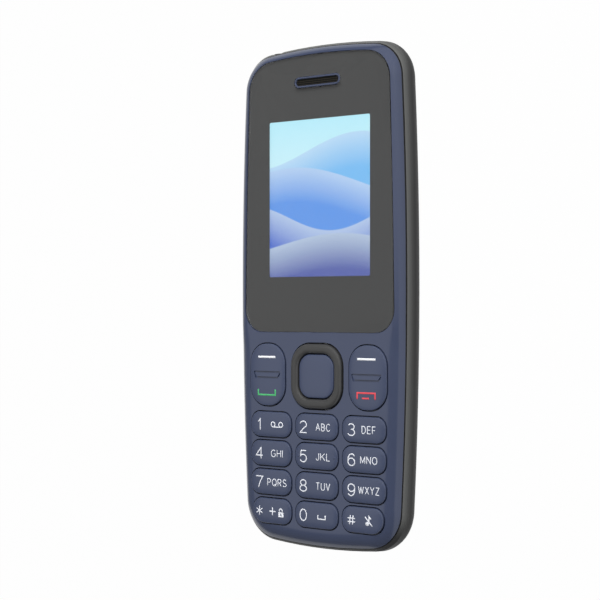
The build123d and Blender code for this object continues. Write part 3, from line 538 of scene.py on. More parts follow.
@dataclass(frozen=True)
class MattBoard(Finish):
    """Matt white board, faintly fibrous: rays from the camera meet it as white."""

    tones: tuple[str, str] = ("#f2f2f2", "#fafafa")
    fibre_mm: float = 2.0
    keep: float = 0.02

    def shader(self, tree: NodeTree, place: NodeSocket) -> NodeSocket:
        """Return the shader: white to the camera but for a small share, matt to the rest.

        Args:
            tree: The material's tree.
            place: Object coordinates.

        Returns:
            The shader.
        """
        fibre = add_node(tree, "TexNoise", {"Vector": place, "Scale": scale(self.fibre_mm), "Detail": 2.0})
        tones = {0: fibre, 6: linear(self.tones[0]), 7: linear(self.tones[1])}
        matt = add_node(tree, "BsdfDiffuse", {"Color": add_node(tree, "Mix", tones, 2, data_type="RGBA")})
        rays = add_node(tree, "LightPath").node.outputs
        seen: NodeSocket | float = 0.0
        for kind in ("Camera", "Glossy", "Transmission"):
            seen = add_node(tree, "Math", {0: seen, 1: rays[f"Is {kind} Ray"]}, operation="MAXIMUM")
        share = add_node(tree, "Math", {0: seen, 1: 1 - self.keep}, operation="MULTIPLY")
        white = add_node(tree, "Emission", {"Color": WHITE, "Strength": 1.0})
        return add_node(tree, "MixShader", {0: share, 1: matt, 2: white})


# Shapes as numpy grids

def circle(radius: float, count: int, centre: Sequence[float], start: float = 0.0) -> np.ndarray:
    """Sample a circle anticlockwise, from a start angle in radians."""
    turn = 2 * math.pi * np.arange(count) / count + start
    return radius * np.column_stack([np.cos(turn), np.sin(turn)]) + centre


def circle_through(a: np.ndarray, b: np.ndarray, c: np.ndarray) -> tuple[np.ndarray, float]:
    """Find the circle through three points, from the two chords' bisectors.

    Args:
        a: The first point.
        b: The second point.
        c: The third point.

    Returns:
        The centre and the radius.
    """
    rows = 2 * np.array([b - a, c - a])
    right = np.array([b @ b - a @ a, c @ c - a @ a])
    centre = np.linalg.solve(rows, right)
    return centre, float(np.linalg.norm(a - centre))


def arc(centre: np.ndarray, start: np.ndarray, end: np.ndarray, count: int) -> np.ndarray:
    """Sample an anticlockwise arc about a centre, without its last point.

    Args:
        centre: The arc's centre.
        start: Where it starts.
        end: Where it ends.
        count: The number of points.

    Returns:
        The points, one to a row.
    """
    first = math.atan2(*(start - centre)[::-1])
    sweep = (math.atan2(*(end - centre)[::-1]) - first) % (2 * math.pi)
    turn = first + sweep * np.arange(count) / count
    return centre + np.linalg.norm(start - centre) * np.column_stack([np.cos(turn), np.sin(turn)])


def filleted_loop(
    corners: Sequence[Sequence[float]],
    middles: Sequence[Sequence[float]],
    radii: Sequence[float],
    side_counts: Sequence[int],
    corner_count: int,
) -> np.ndarray:
    """Run four arcs round a loop and round the corners between them.

    A corner's fillet touches both arcs from inside, so its centre lies at each
    arc's radius less its own from that arc's centre.

    Args:
        corners: The four corners, anticlockwise.
        middles: The middle of the arc after each corner.
        radii: Each corner's fillet radius.
        side_counts: How many points each arc gets.
        corner_count: How many points each fillet gets.

    Returns:
        The loop's points, anticlockwise, starting after the first corner.
    """
    points = [np.asarray(p, float) for p in corners]
    arcs = [circle_through(points[i], np.asarray(middles[i], float), points[(i + 1) % 4]) for i in range(4)]
    fillets = []
    for i, point in enumerate(points):
        (ca, ra), (cb, rb) = arcs[i - 1], arcs[i]
        da, db = ra - radii[i], rb - radii[i]
        gap = np.linalg.norm(cb - ca)
        along = (da**2 - db**2 + gap**2) / (2 * gap)
        away = math.sqrt(max(da**2 - along**2, 0.0))
        unit = (cb - ca) / gap
        normal = np.array([-unit[1], unit[0]])
        options = [ca + along * unit + side * away * normal for side in (-1, 1)]
        centre = min(options, key=lambda p: float(np.linalg.norm(p - point)))
        touches = [c + (centre - c) / np.linalg.norm(centre - c) * r for c, r in ((ca, ra), (cb, rb))]
        fillets.append((centre, *touches))
    loop = []
    for i in range(4):
        ahead = fillets[(i + 1) % 4]
        loop.append(arc(arcs[i][0], fillets[i][2], ahead[1], side_counts[i]))
        loop.append(arc(*ahead, corner_count))
    return np.vstack(loop)


@dataclass(frozen=True)
class Outline:
    """The housing's outline: bowed sides, arched ends and rounded corners."""

    half_width: float = 23.585
    half_length: float = 56.2513
    top_drop: float = 1.63
    bottom_drop: float = 1.7
    top_draw_in: float = 1.45
    bottom_draw_in: float = 1.73
    top_radius: float = 8.0
    bottom_radius: float = 9.0
    tighten: float = 0.4

    def loop(self, inset: float) -> np.ndarray:
        """Draw the outline in by an inset: four bowed sides and their rounded corners.

        Args:
            inset: How far in, in millimetres.

        Returns:
            The loop's points.
        """
        side, end = self.half_width - inset, self.half_length - inset
        tx, ty = side - self.top_draw_in, end - self.top_drop
        bx, by = side - self.bottom_draw_in, end - self.bottom_drop
        radii = [self.bottom_radius, self.bottom_radius, self.top_radius, self.top_radius]
        return filleted_loop(
            [(-bx, -by), (bx, -by), (tx, ty), (-tx, ty)],
            [(0, -end), (side, 0), (0, end), (-side, 0)],
            [radius - self.tighten * inset for radius in radii],
            [28, 72, 28, 72],
            20,
        )


@dataclass(frozen=True)
class LensOutline:
    """The display lens's outline: a flat foot, bowed sides and an arched top."""

    half_width: float = 20.655
    top: float = 53.8013
    foot: float = -7.9
    arch: float = 1.3
    draw_in: float = 1.35
    top_radius: float = 6.5
    foot_radius: float = 5.0
    foot_bow: float = 0.002

    def loop(self, margin: float) -> np.ndarray:
        """Widen the outline by a margin: a flat foot, two bowed sides and the arch.

        Args:
            margin: How far out, in millimetres.

        Returns:
            The loop's points.
        """
        side, foot = self.half_width + margin, self.foot - margin
        tx, ty = side - self.draw_in, self.top - self.arch + margin
        bow_x, middle = side - self.draw_in / 3, (foot + ty) / 2
        return filleted_loop(
            [(-side, foot), (side, foot), (tx, ty), (-tx, ty)],
            [(0, foot - self.foot_bow), (bow_x, middle), (0, self.top + margin), (-bow_x, middle)],
            [self.foot_radius + margin] * 2 + [self.top_radius + margin] * 2,
            [28, 48, 28, 48],
            16,
        )


def rounded_rectangle(
    width: float, height: float, radii: float | Sequence[float], per_side: int = 10, per_corner: int = 9
) -> np.ndarray:
    """Sample a rectangle with rounded corners about its middle, anticlockwise.

    Args:
        width: Its width.
        height: Its height.
        radii: One radius, or the lower left, lower right, upper right and upper left ones.
        per_side: Points along each side.
        per_corner: Points round each corner.

    Returns:
        The loop's points.
    """
    signs = ((-1, -1), (1, -1), (1, 1), (-1, 1))
    corners = []
    for (sx, sy), radius, start in zip(signs, np.broadcast_to(radii, 4), (180, 270, 0, 90)):
        turn = np.radians(start + 90 * np.arange(per_corner + 1) / per_corner)
        centre = np.array([sx * (width / 2 - radius), sy * (height / 2 - radius)])
        corners.append(centre + radius * np.column_stack([np.cos(turn), np.sin(turn)]))
    share = (np.arange(1, per_side) / per_side)[:, None]
    loop = []
    for corner, ahead in zip(corners, corners[1:] + corners[:1]):
        loop += [corner, corner[-1] + (ahead[0] - corner[-1]) * share]
    return np.vstack(loop)


def oblong(width: float, height: float, count: int) -> np.ndarray:
    """Sample a rectangle whose ends are round but for a straight run of 0.02 mm."""
    return rounded_rectangle(width, height, height / 2 - 0.01, count, count)


def lift(loop: np.ndarray, z: float | np.ndarray) -> np.ndarray:
    """Give a flat loop its height or heights."""
    return np.column_stack([loop, np.broadcast_to(z, len(loop))])


def shade(mesh: Mesh, angle: float) -> None:
    """Shade a mesh smooth, with sharp edges.

    Args:
        mesh: The mesh.
        angle: The degrees above which an edge stays sharp.
    """
    mesh.polygons.foreach_set("use_smooth", np.ones(len(mesh.polygons), bool))
    mesh.set_sharp_from_angle(angle=math.radians(angle))
    mesh.update()


def make_object(name: str, vertices: np.ndarray, faces: list[list[int]], smooth: float = SMOOTH) -> Object:
    """Make a mesh object at the origin.

    Args:
        name: The object's name.
        vertices: Rows of x, y and z in millimetres.
        faces: Vertex numbers of each face.
        smooth: The angle above which edges stay sharp.

    Returns:
        The object.
    """
    mesh = bpy.data.meshes.new(name)
    mesh.from_pydata((vertices * MM).tolist(), [], faces)
    mesh.validate()
    shade(mesh, smooth)
    made = bpy.data.objects.new(name, mesh)
    bpy.context.scene.collection.objects.link(made)
    return made


def loft(name: str, loops: Sequence[np.ndarray], smooth: float = SMOOTH, ring: bool = False) -> Object:
    """Join loops of equal count by quads, and close the shape.

    Args:
        name: The object's name.
        loops: The loops in order, as rows of x, y and z in millimetres. The
            outside is to the right of an anticlockwise loop that rises.
        smooth: The angle above which edges stay sharp.
        ring: Whether the last loop joins the first. Otherwise both ends get a face.

    Returns:
        The object.
    """
    count, total = len(loops[0]), len(loops)
    here = np.arange(count)
    ahead = (here + 1) % count
    faces: list[list[int]] = []
    for low in range(total if ring else total - 1):
        a, b = low * count, (low + 1) % total * count
        faces += np.column_stack([a + here, a + ahead, b + ahead, b + here]).tolist()
    if not ring:
        faces += [here[::-1].tolist(), ((total - 1) * count + here).tolist()]
    return make_object(name, np.vstack(loops), faces, smooth)


def prism(loop: np.ndarray, low: float, high: float) -> Object:
    """Return a closed prism of a loop between two levels, to cut with."""
    return loft("tool", [lift(loop, low), lift(loop, high)])


def carve(body: Object, tools: Sequence[Object], smooth: float = SMOOTH) -> None:
    """Cut tools out of a body, and delete them.

    Args:
        body: The object that is cut; its mesh is replaced.
        tools: Closed objects to take away.
        smooth: The angle above which the result's edges stay sharp.
    """
    for tool in tools:
        cut = body.modifiers.new("cut", "BOOLEAN")
        cut.operation, cut.solver, cut.object = "DIFFERENCE", "EXACT", tool
    graph = bpy.context.evaluated_depsgraph_get()
    mesh = bpy.data.meshes.new_from_object(body.evaluated_get(graph))
    body.modifiers.clear()
    old, body.data = body.data, mesh
    bpy.data.meshes.remove(old)
    for tool in tools:
        bpy.data.objects.remove(tool)
    shade(mesh, smooth)


def round_edges(made: Object, width: float) -> None:
    """Round an object's sharp edges with a bevel of two faces.

    Args:
        made: The object.
        width: The bevel's width in millimetres.
    """
    bevel = made.modifiers.new("edges", "BEVEL")
    bevel.width, bevel.segments = width * MM, 2
    bevel.limit_method, bevel.angle_limit = "ANGLE", math.radians(CRISP)
    bevel.harden_normals = bevel.use_clamp_overlap = True


def dress(made: Object, material: Material) -> None:
    """Give an object one material in every slot.

    Args:
        made: The object.
        material: What it gets.
    """
    if not made.data.materials:
        made.data.materials.append(material)
    for slot in made.material_slots:
        slot.link = "OBJECT"
        slot.material = material


def seat(made: Object, material: Material, body: str, slot: str, *nodes: str) -> None:
    """Dress a piece, let it ride on a body and stand for CAD nodes, and report it.

    Args:
        made: The piece.
        material: Its finish.
        body: The body that it rides on.
        slot: The record's material slot; it is not used.
        nodes: The CAD nodes that it replaces.
    """
    dress(made, material)
    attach(made, body)
    if nodes:
        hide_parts(*nodes)
    log.info("%s rides on %s, %d faces, %s", made.name, body, len(made.data.polygons), material.name)


@dataclass(frozen=True)
class Levels:
    """Heights above the back and insets from the widest outline, in millimetres."""

    cover_edge: float = 6.3
    seam: float = 11.1
    plate: float = 11.4
    pocket: float = 11.75
    front: float = 12.8
    seam_inset: float = 0.74
    cover_inset: float = 0.68
    front_round: float = 3.0
    flank_angle: float = 37.6
    cover_round: float = 4.8
    cover_wall: float = 1.0

    @property
    def side_inset(self) -> float:
        """How far in the front's rounded edge would start if it ran on down."""
        drop = self.seam - self.front + self.front_round
        return self.seam_inset - self.front_round + math.sqrt(self.front_round**2 - drop**2)


@dataclass
class KeyCap:
    """One key: its outline, its crowned top and the stem below it."""

    name: str
    x: float
    y: float
    width: float
    height: float
    radii: float | Sequence[float]
    top: float = 13.3
    edge_drop: float = 0.18
    edge_round: float = 0.22
    least_radius: float = 0.05
    most_reach: float = 1.4
    crown_shares: tuple[float, ...] = (0.85, 0.68, 0.5, 0.3, 0.12, 0.02)
    base: float = 10.8
    flange: float = 0.5
    flange_reach: tuple[float, float] = (0.45, 0.3)
    stem_radius: float = 1.2
    stem_base: float = 9.4

    def crown(self, x: np.ndarray, y: np.ndarray) -> np.ndarray:
        """Return the top's height: it falls with the third power of the reach.

        Args:
            x: Places across the phone in millimetres.
            y: Places along the phone in millimetres.

        Returns:
            The heights in millimetres.
        """
        reach = (np.abs(x - self.x) / (self.width / 2)) ** 3 + (np.abs(y - self.y) / (self.height / 2)) ** 3
        return self.top - self.edge_drop * np.clip(reach, 0, self.most_reach)

    def outline(self, inset: float) -> np.ndarray:
        """Return the cap's outline drawn in by an inset."""
        radii = np.maximum(np.subtract(self.radii, inset), self.least_radius)
        return rounded_rectangle(self.width - 2 * inset, self.height - 2 * inset, radii) + (self.x, self.y)

    def build(self, name: str) -> Object:
        """Loft stem, flange, wall, rounded edge and crown into one closed shape.

        The edge is a quarter circle, and the crown's loops are the wall's own,
        drawn towards the middle by fixed shares.

        Args:
            name: The new piece's name.

        Returns:
            The piece.
        """
        wall, middle = self.outline(0), np.array([self.x, self.y])
        stem = circle(self.stem_radius, len(wall), middle, math.pi)
        loops = [lift(stem, self.stem_base), lift(stem, self.base)]
        wide, tall = self.flange_reach
        foot = self.base
        if wide > 0:
            foot += self.flange
            grow = ((self.width + 2 * wide) / self.width, (self.height + 2 * tall) / self.height)
            loops += [lift(middle + (wall - middle) * grow, z) for z in (self.base, foot)]
        loops.append(lift(wall, foot))
        for bend in np.linspace(0, math.pi / 2, 7):
            ring = self.outline(self.edge_round * (1 - math.cos(bend)))
            loops.append(lift(ring, self.crown(*ring.T) - self.edge_round * (1 - math.sin(bend))))
        last = self.outline(self.edge_round)
        for share in self.crown_shares:
            ring = middle + (last - middle) * share
            loops.append(lift(ring, self.crown(*ring.T)))
        return loft(name, loops)


# The housing

@dataclass
class FrontShell:
    """The blue front: a rounded plate with the lens pocket and the keys' openings."""

    plastic: Material
    outline: Outline
    lens: LensOutline
    levels: Levels
    keys: Sequence[KeyCap]
    window: tuple[float, float, float] = (28.6, 35.6, 22.0)
    window_radius: float = 0.5
    lens_gap: float = 0.16
    key_gap: tuple[float, float] = (0.25, 0.24)
    slope_start: float = 4.8
    slope_power: float = 2.9
    slope_y: tuple[float, float] = (-5.0, -13.0)
    foot_insets: tuple[float, float] = (2.3, 2.0)
    groove_drop: float = 0.03
    groove_wall: float = 0.5
    lip: float = 0.22
    lip_tuck: tuple[float, float] = (0.3, 0.08)
    flat_insets: tuple[float, ...] = (3.75, 4.1, 4.5)
    overrun: float = 1.0
    edge: float = 0.13

    def height(self, inset: float, y: np.ndarray) -> np.ndarray:
        """Return the front's height at an inset, for each place along the phone.

        Beside the lens the edge is a quarter circle. Beside the keys the front
        falls by its whole drop times a power of the share of the way from the
        slope's start to the seam. A smooth step along the phone blends the two.

        Args:
            inset: The inset from the widest outline.
            y: Places along the phone in millimetres.

        Returns:
            The heights in millimetres.
        """
        lv = self.levels
        radius, reach = lv.front_round, max(lv.side_inset + lv.front_round - inset, 0.0)
        arc_z = lv.front - radius + math.sqrt(radius**2 - reach**2)
        share = min(max((self.slope_start - inset) / (self.slope_start - lv.seam_inset), 0.0), 1.0)
        slope_z = lv.front - (lv.front - lv.seam) * share**self.slope_power
        high, low = self.slope_y
        step = np.clip((high - y) / (high - low), 0, 1)
        step = step * step * (3 - 2 * step)
        return arc_z * (1 - step) + slope_z * step

    def body(self) -> Object:
        """Loft the plate from its underside, by the seam's groove and the rim, to the front.

        Returns:
            The plate, not yet cut.
        """
        lv = self.levels
        groove, (foot, inner) = lv.seam - self.groove_drop, self.foot_insets
        rows = [(lv.plate, foot), (groove, inner), (groove, lv.seam_inset + self.groove_wall)]
        loops = [lift(self.outline.loop(inset), z) for z, inset in rows]
        start = math.asin((lv.seam + self.lip - lv.front) / lv.front_round + 1)
        turns = np.linspace(start, math.pi / 2, 15)
        insets = [lv.side_inset + lv.front_round * (1 - math.cos(turn)) for turn in turns]
        tuck, drop = self.lip_tuck
        under = self.outline.loop(insets[0] + tuck)
        loops.append(lift(under, self.height(insets[0], under[:, 1]) - drop))
        for inset in [*insets, *self.flat_insets, self.slope_start]:
            ring = self.outline.loop(inset)
            loops.append(lift(ring, self.height(inset, ring[:, 1])))
        return loft("front_shell", loops)

    def build(self) -> None:
        """Cut the openings, round their edges and dress the shell."""
        lv = self.levels
        low, high = lv.seam - self.overrun, lv.front + self.overrun
        width, height, y = self.window
        window = rounded_rectangle(width, height, self.window_radius) + (0, y)
        tools = [prism(self.lens.loop(self.lens_gap), lv.pocket, high), prism(window, low, lv.front)]
        wide, tall = self.key_gap
        for key in self.keys:
            hole = rounded_rectangle(key.width + 2 * wide, key.height + 2 * tall, np.add(key.radii, tall))
            tools.append(prism(hole + (key.x, key.y), low, high))
        shell = self.body()
        carve(shell, tools)
        round_edges(shell, self.edge)
        seat(shell, self.plastic, "phone", "blue_shell", "front_housing")


@dataclass
class BackCover:
    """The cover: a thin hull of four sloping flanks and a flat back."""

    weave: Material
    rim: Material
    outline: Outline
    levels: Levels
    window_radius: float = 3.35
    window_y: float = 44.5
    grille: tuple[float, float, float, float, float, int] = (-9.6, 37.5, 6.5, 0.9, 2.2, 4)
    flank_gap: float = 0.005
    brim: float = 0.12
    cut: tuple[float, float] = (-1.0, 2.2)
    bezel_z: float = 0.13
    bezel_rise: float = 0.1
    bezel_half: float = 0.2
    bezel_inset: float = 0.22
    edge: float = 0.12

    def profile(self, inset: float, floor: float) -> list[tuple[float, float]]:
        """List heights and insets down the flank and round to the flat back.

        The flank leans in by the tangent of its angle for each millimetre
        down, and an arc that leaves it where its normal turns to the flank's
        lean runs on until it is flat.

        Args:
            inset: How far the surface lies inside the outside one.
            floor: The level of the flat part.

        Returns:
            Pairs of height and inset from the widest outline, from the top down.
        """
        lv = self.levels
        lean, radius = math.radians(lv.flank_angle), lv.cover_round - inset
        centre_z = floor + radius
        start = lv.cover_inset + self.flank_gap + inset / math.cos(lean)
        drop = np.linspace(0, lv.cover_edge - centre_z + radius * math.sin(lean), 4)
        rows = [(lv.cover_edge - d, start + d * math.tan(lean)) for d in drop]
        centre = rows[-1][1] + radius * math.cos(lean)
        for turn in np.linspace(lean, math.pi / 2, 12)[1:]:
            rows.append((centre_z - radius * math.sin(turn), centre - radius * math.cos(turn)))
        return rows

    def build(self) -> None:
        """Loft the hull's two skins, cut the window and the grille, and dress it."""
        lv = self.levels
        outer, inner = self.profile(0.0, 0.0), self.profile(lv.cover_wall, lv.cover_wall)
        rows = [*reversed(outer), (lv.cover_edge, outer[0][1] + self.brim), *inner]
        hull = loft("cover_hull", [lift(self.outline.loop(inset), z) for z, inset in rows])
        tools = [prism(circle(self.window_radius, 64, (0, self.window_y)), *self.cut)]
        x, y, width, height, pitch, count = self.grille
        for row in range(count):
            place = (x, y - pitch * (row - (count - 1) / 2))
            tools.append(prism(oblong(width, height, 6) + place, *self.cut))
        carve(hull, tools)
        round_edges(hull, self.edge)
        seat(hull, self.weave, "cover", "blue_cover", "back_cover")

    def bezel(self) -> None:
        """Carry half an ellipse round the camera window as its rim, and dress it."""
        low, half, middle = self.bezel_z, self.bezel_half, self.window_radius - self.bezel_inset
        bends = np.linspace(0, math.pi, 9)
        rows = [(low - self.bezel_rise * math.sin(bend), middle + half * math.cos(bend)) for bend in bends]
        rows = [(low, middle - half), *reversed(rows), (low, middle + half)]
        loops = [lift(circle(radius, 64, (0, self.window_y)), z) for z, radius in rows]
        seat(loft("camera_bezel", loops, ring=True), self.rim, "cover", "blue_cover")


# The display and the earpiece

@dataclass
class Earpiece:
    """The rim through the lens, moulded with the front, round its mesh."""

    plastic: Material
    width: float = 12.7
    height: float = 2.4
    y: float = 47.8
    wall: float = 0.45
    crown_share: float = 0.5
    low: float = 11.85
    high: float = 12.85

    def loop(self, inset: float, count: int = 12) -> np.ndarray:
        """Return the rim's outline drawn in by an inset, with a count for each run."""
        return oblong(self.width - 2 * inset, self.height - 2 * inset, count) + (0, self.y)

    def build(self) -> None:
        """Sweep a rounded section round the slot and dress the rim.

        The section is a wall whose top is half of an ellipse across its width.
        """
        reach = self.wall / 2
        rows = [(self.low, 0.0)]
        for turn in np.linspace(0, math.pi, 9):
            drop = reach * self.crown_share * (1 - math.sin(turn))
            rows.append((self.high - drop, reach - reach * math.cos(turn)))
        rows.append((self.low, self.wall))
        rim = loft("ear_rim", [lift(self.loop(inset), z) for z, inset in rows], ring=True)
        seat(rim, self.plastic, "phone", "blue_shell", "earpiece_rim")


@dataclass
class Display:
    """The lens and the printed mask below it, both open round the earpiece."""

    acrylic: Material
    ink: Material
    lens: LensOutline
    levels: Levels
    earpiece: Earpiece
    lens_low: float = 11.85
    edge: float = 0.1
    flat_insets: tuple[float, float] = (0.2, 0.5)
    slot_gap: float = 0.05
    film_inset: float = 0.02
    film_gap: float = 0.01
    window: tuple[float, float, float] = (28.03, 35.04, 22.0)
    window_radius: float = 0.35
    overrun: float = 1.0

    def build(self) -> None:
        """Build and dress the lens, with a quarter circle at its edge, and the mask."""
        lv, edge, outline = self.levels, self.edge, self.lens.loop
        ear = self.earpiece.loop(-self.slot_gap, 10)
        loops = [lift(outline(0), self.lens_low), lift(outline(0), lv.front - edge)]
        for turn in np.linspace(0, math.pi / 2, 6)[1:]:
            loops.append(lift(outline(-edge * (1 - math.cos(turn))), lv.front - edge * (1 - math.sin(turn))))
        loops += [lift(outline(-edge - inset), lv.front) for inset in self.flat_insets]
        lens = loft("lens", loops, CRISP)
        carve(lens, [prism(ear, self.lens_low - self.overrun, lv.front + self.overrun)], CRISP)
        seat(lens, self.acrylic, "phone", "clear_lens", "display_lens")

        rise = (lv.pocket + self.film_gap, self.lens_low)
        film = loft("mask", [lift(outline(-self.film_inset), z) for z in rise], CRISP)
        width, height, y = self.window
        pane = rounded_rectangle(width, height, self.window_radius) + (0, y)
        carve(film, [prism(hole, lv.pocket - self.overrun, lv.front) for hole in (pane, ear)], CRISP)
        seat(film, self.ink, "phone", "mask_print", "lens_mask")


# The keys and their legends

class Tint(Enum):
    """The inks on the keys."""

    WHITE = "white"
    GREEN = "green"
    RED = "red"
    PALE = "pale"


@dataclass(frozen=True)
class Stroke:
    """A printed line: its points, its thickness in millimetres and whether it closes."""

    points: Sequence[tuple[float, float]]
    thick: float
    closed: bool = False


@dataclass(frozen=True)
class Legend:
    """Words or strokes printed on a key, about a centre."""

    x: float
    y: float
    text: str = ""
    width: float = 0.0
    height: float = 0.0
    strokes: tuple[Stroke, ...] = ()
    tint: Tint = Tint.WHITE
    thick: float = 0.0
    spacing: float = 0.3


def short_steps(points: np.ndarray, closed: bool, step: float = 0.35) -> np.ndarray:
    """Divide each run of a line into equal steps, so that a film can follow a crown.

    Args:
        points: The line's points.
        closed: Whether the last point joins the first.
        step: The longest step in millimetres.

    Returns:
        The line with the points between.
    """
    ends = np.vstack([points[1:], points[:1]]) if closed else points[1:]
    parts = []
    for start, end in zip(points, ends):
        count = max(1, math.ceil(np.linalg.norm(end - start) / step))
        parts.append(start + (end - start) * (np.arange(count) / count)[:, None])
    if not closed:
        parts.append(points[-1:])
    return np.vstack(parts)


def stroke_band(stroke: Stroke) -> tuple[np.ndarray, np.ndarray]:
    """Offset a polyline to both sides by half its thickness, mitred at corners.

    At each point the offset runs along the sum of the two neighbouring
    normals, divided by one plus their product, so both sides stay parallel.

    Args:
        stroke: The line to thicken.

    Returns:
        Flat vertices in millimetres, and quads.
    """
    points = short_steps(np.asarray(stroke.points, float), stroke.closed)
    if stroke.closed:
        after = np.roll(points, -1, 0) - points
        before = np.roll(after, 1, 0)
    else:
        runs = np.diff(points, axis=0)
        before, after = np.vstack([runs[:1], runs]), np.vstack([runs, runs[-1:]])
    units = [part / np.linalg.norm(part, axis=1, keepdims=True) for part in (before, after)]
    first, second = (np.column_stack([-unit[:, 1], unit[:, 0]]) for unit in units)
    share = 1 + np.sum(first * second, axis=1, keepdims=True)
    push = (first + second) / np.maximum(share, 0.3) * stroke.thick / 2
    count = len(points)
    here = np.arange(count if stroke.closed else count - 1)
    ahead = (here + 1) % count
    faces = np.column_stack([here, ahead, ahead + count, here + count])[:, ::-1]
    return np.vstack([points + push, points - push]), faces


def bow(
    x: float, y: float, rx: float, ry: float, start: float, end: float, count: float = 13
) -> list[tuple[float, float]]:
    """Return points on an ellipse's arc between two angles in degrees."""
    turn = np.radians(np.linspace(start, end, int(count)))
    return list(zip((x + rx * np.cos(turn)).tolist(), (y + ry * np.sin(turn)).tolist()))


# Each sign's width, and its pen lines in a box of a hundred both ways. An item is
# a point x,y or an elliptic arc x,y,rx,ry,start,end,count with angles in degrees.
SIGNS: dict[str, tuple[float | str, ...]] = {
    "1": (0.34, "0,74 45,82 80,100 80,0"),
    "2": (1.0, "50,70,47,30,165,-25,15 62,42 2,0 100,0"),
    "3": (1.0, "48,76,42,24,155,-80,14 42,53 48,27,48,27,85,-160,16"),
    "4": (1.1, "74,0 74,100 0,30 100,30"),
    "5": (1.0, "90,100 20,100 8,50 49,33,48,33,130,-155,18"),
    "6": (1.0, "50,32,47,32,180,-180,25", "55,50,52,50,190,40,14"),
    "7": (1.0, "0,100 100,100 62,55 36,0"),
    "8": (1.0, "50,76,40,24,-90,270,25", "50,26,48,26,90,-270,25"),
    "9": (1.0, "50,68,47,32,0,360,25", "45,50,52,50,10,-140,14"),
    "0": (1.0, "50,50,47,50,90,450,31"),
    "A": (1.0, "0,0 50,100 100,0", "20,36 80,36"),
    "B": (0.85, "0,0 0,100 50,100 50,76,42,24,80,-90,9 0,52", "50,52 50,26,50,26,80,-90,9 0,0"),
    "C": (0.95, "54,50,52,50,42,318,21"),
    "D": (0.9, "0,0 0,100 42,50,56,50,88,-88,15 0,0"),
    "E": (0.8, "100,100 0,100 0,0 100,0", "0,53 90,53"),
    "F": (0.75, "100,100 0,100 0,0", "0,50 85,50"),
    "G": (1.0, "53,50,52,50,45,325,21 98,46 58,46"),
    "H": (0.85, "0,0 0,100", "100,0 100,100", "0,53 100,53"),
    "I": (0.02, "50,0 50,100"),
    "J": (0.6, "95,100 95,30 48,28,46,28,0,-175,9"),
    "K": (0.9, "0,0 0,100", "95,100 0,36", "36,60 100,0"),
    "L": (0.7, "0,100 0,0 100,0"),
    "M": (1.05, "0,0 0,100 50,15 100,100 100,0"),
    "N": (0.9, "0,0 0,100 100,0 100,100"),
    "O": (1.05, "50,50,50,50,90,450,25"),
    "P": (0.8, "0,0 0,100 50,100 50,73,48,27,80,-90,9 0,46"),
    "Q": (1.05, "50,50,50,50,90,450,25", "60,28 98,-4"),
    "R": (0.85, "0,0 0,100 50,100 50,74,46,26,80,-90,9 0,48", "50,48 100,0"),
    "S": (0.85, "50,75,44,25,25,235,12 50,25,48,25,60,-155,12"),
    "T": (0.85, "0,100 100,100", "50,100 50,0"),
    "U": (0.85, "0,100 0,34 50,32,50,32,180,360,13 100,100"),
    "V": (0.9, "0,100 50,0 100,100"),
    "W": (1.35, "0,100 26,0 50,92 74,0 100,100"),
    "X": (0.9, "0,0 100,100", "0,100 100,0"),
    "Y": (0.9, "0,100 50,45 100,100", "50,45 50,0"),
    "Z": (0.85, "0,100 100,100 0,0 100,0"),
}


def pen_line(text: str) -> np.ndarray:
    """Read a sign's pen line.

    Args:
        text: Its points and arcs, as SIGNS holds them.

    Returns:
        Points in a box from 0 to 1 both ways.
    """
    points: list[tuple[float, ...]] = []
    for item in text.split():
        values = [float(value) for value in item.split(",")]
        points += [tuple(values)] if len(values) == 2 else bow(*values)
    return np.array(points) / 100


@dataclass
class LegendPress:
    """Prints legends: thin raised film that follows a key's crown."""

    inks: dict[Tint, Material]
    lift_mm: float = 0.012
    film_mm: float = 0.03

    def letters(self, legend: Legend) -> list[Stroke]:
        """Set a word in strokes, its letters' widths in their own proportion.

        Args:
            legend: The legend with its text.

        Returns:
            Strokes in millimetres about the origin.
        """
        thick = legend.thick
        signs = [SIGNS[letter] for letter in legend.text]
        spaces = legend.spacing * (len(signs) - 1)
        unit = (legend.width - spaces - thick * len(signs)) / sum(sign[0] for sign in signs)
        height = legend.height - thick
        strokes, start = [], -legend.width / 2
        for width, *lines in signs:
            for line in lines:
                points = pen_line(line) * (unit * width, height) + (start + thick / 2, -height / 2)
                strokes.append(Stroke(points, thick))
            start += unit * width + thick + legend.spacing
        return strokes

    def print(self, name: str, legend: Legend, surface: Callable, body: str) -> None:
        """Lay a legend on a key's crown as a thin film with a wall.

        Args:
            name: The new piece's name.
            legend: What is printed.
            surface: Gives the height in millimetres at arrays of x and y.
            body: The body that the film rides on.
        """
        lines = self.letters(legend) if legend.text else []
        vertices, faces, start = [], [], 0
        for stroke in [*lines, *legend.strokes]:
            flat, quads = stroke_band(stroke)
            vertices.append(flat + (legend.x, legend.y))
            faces += (quads + start).tolist()
            start += len(flat)
        flat = np.vstack(vertices)
        film = make_object(name, lift(flat, surface(*flat.T) + self.lift_mm), faces)
        wall = film.modifiers.new("film", "SOLIDIFY")
        wall.thickness, wall.offset = self.film_mm * MM, -1.0
        seat(film, self.inks[legend.tint], body, "blue_key")


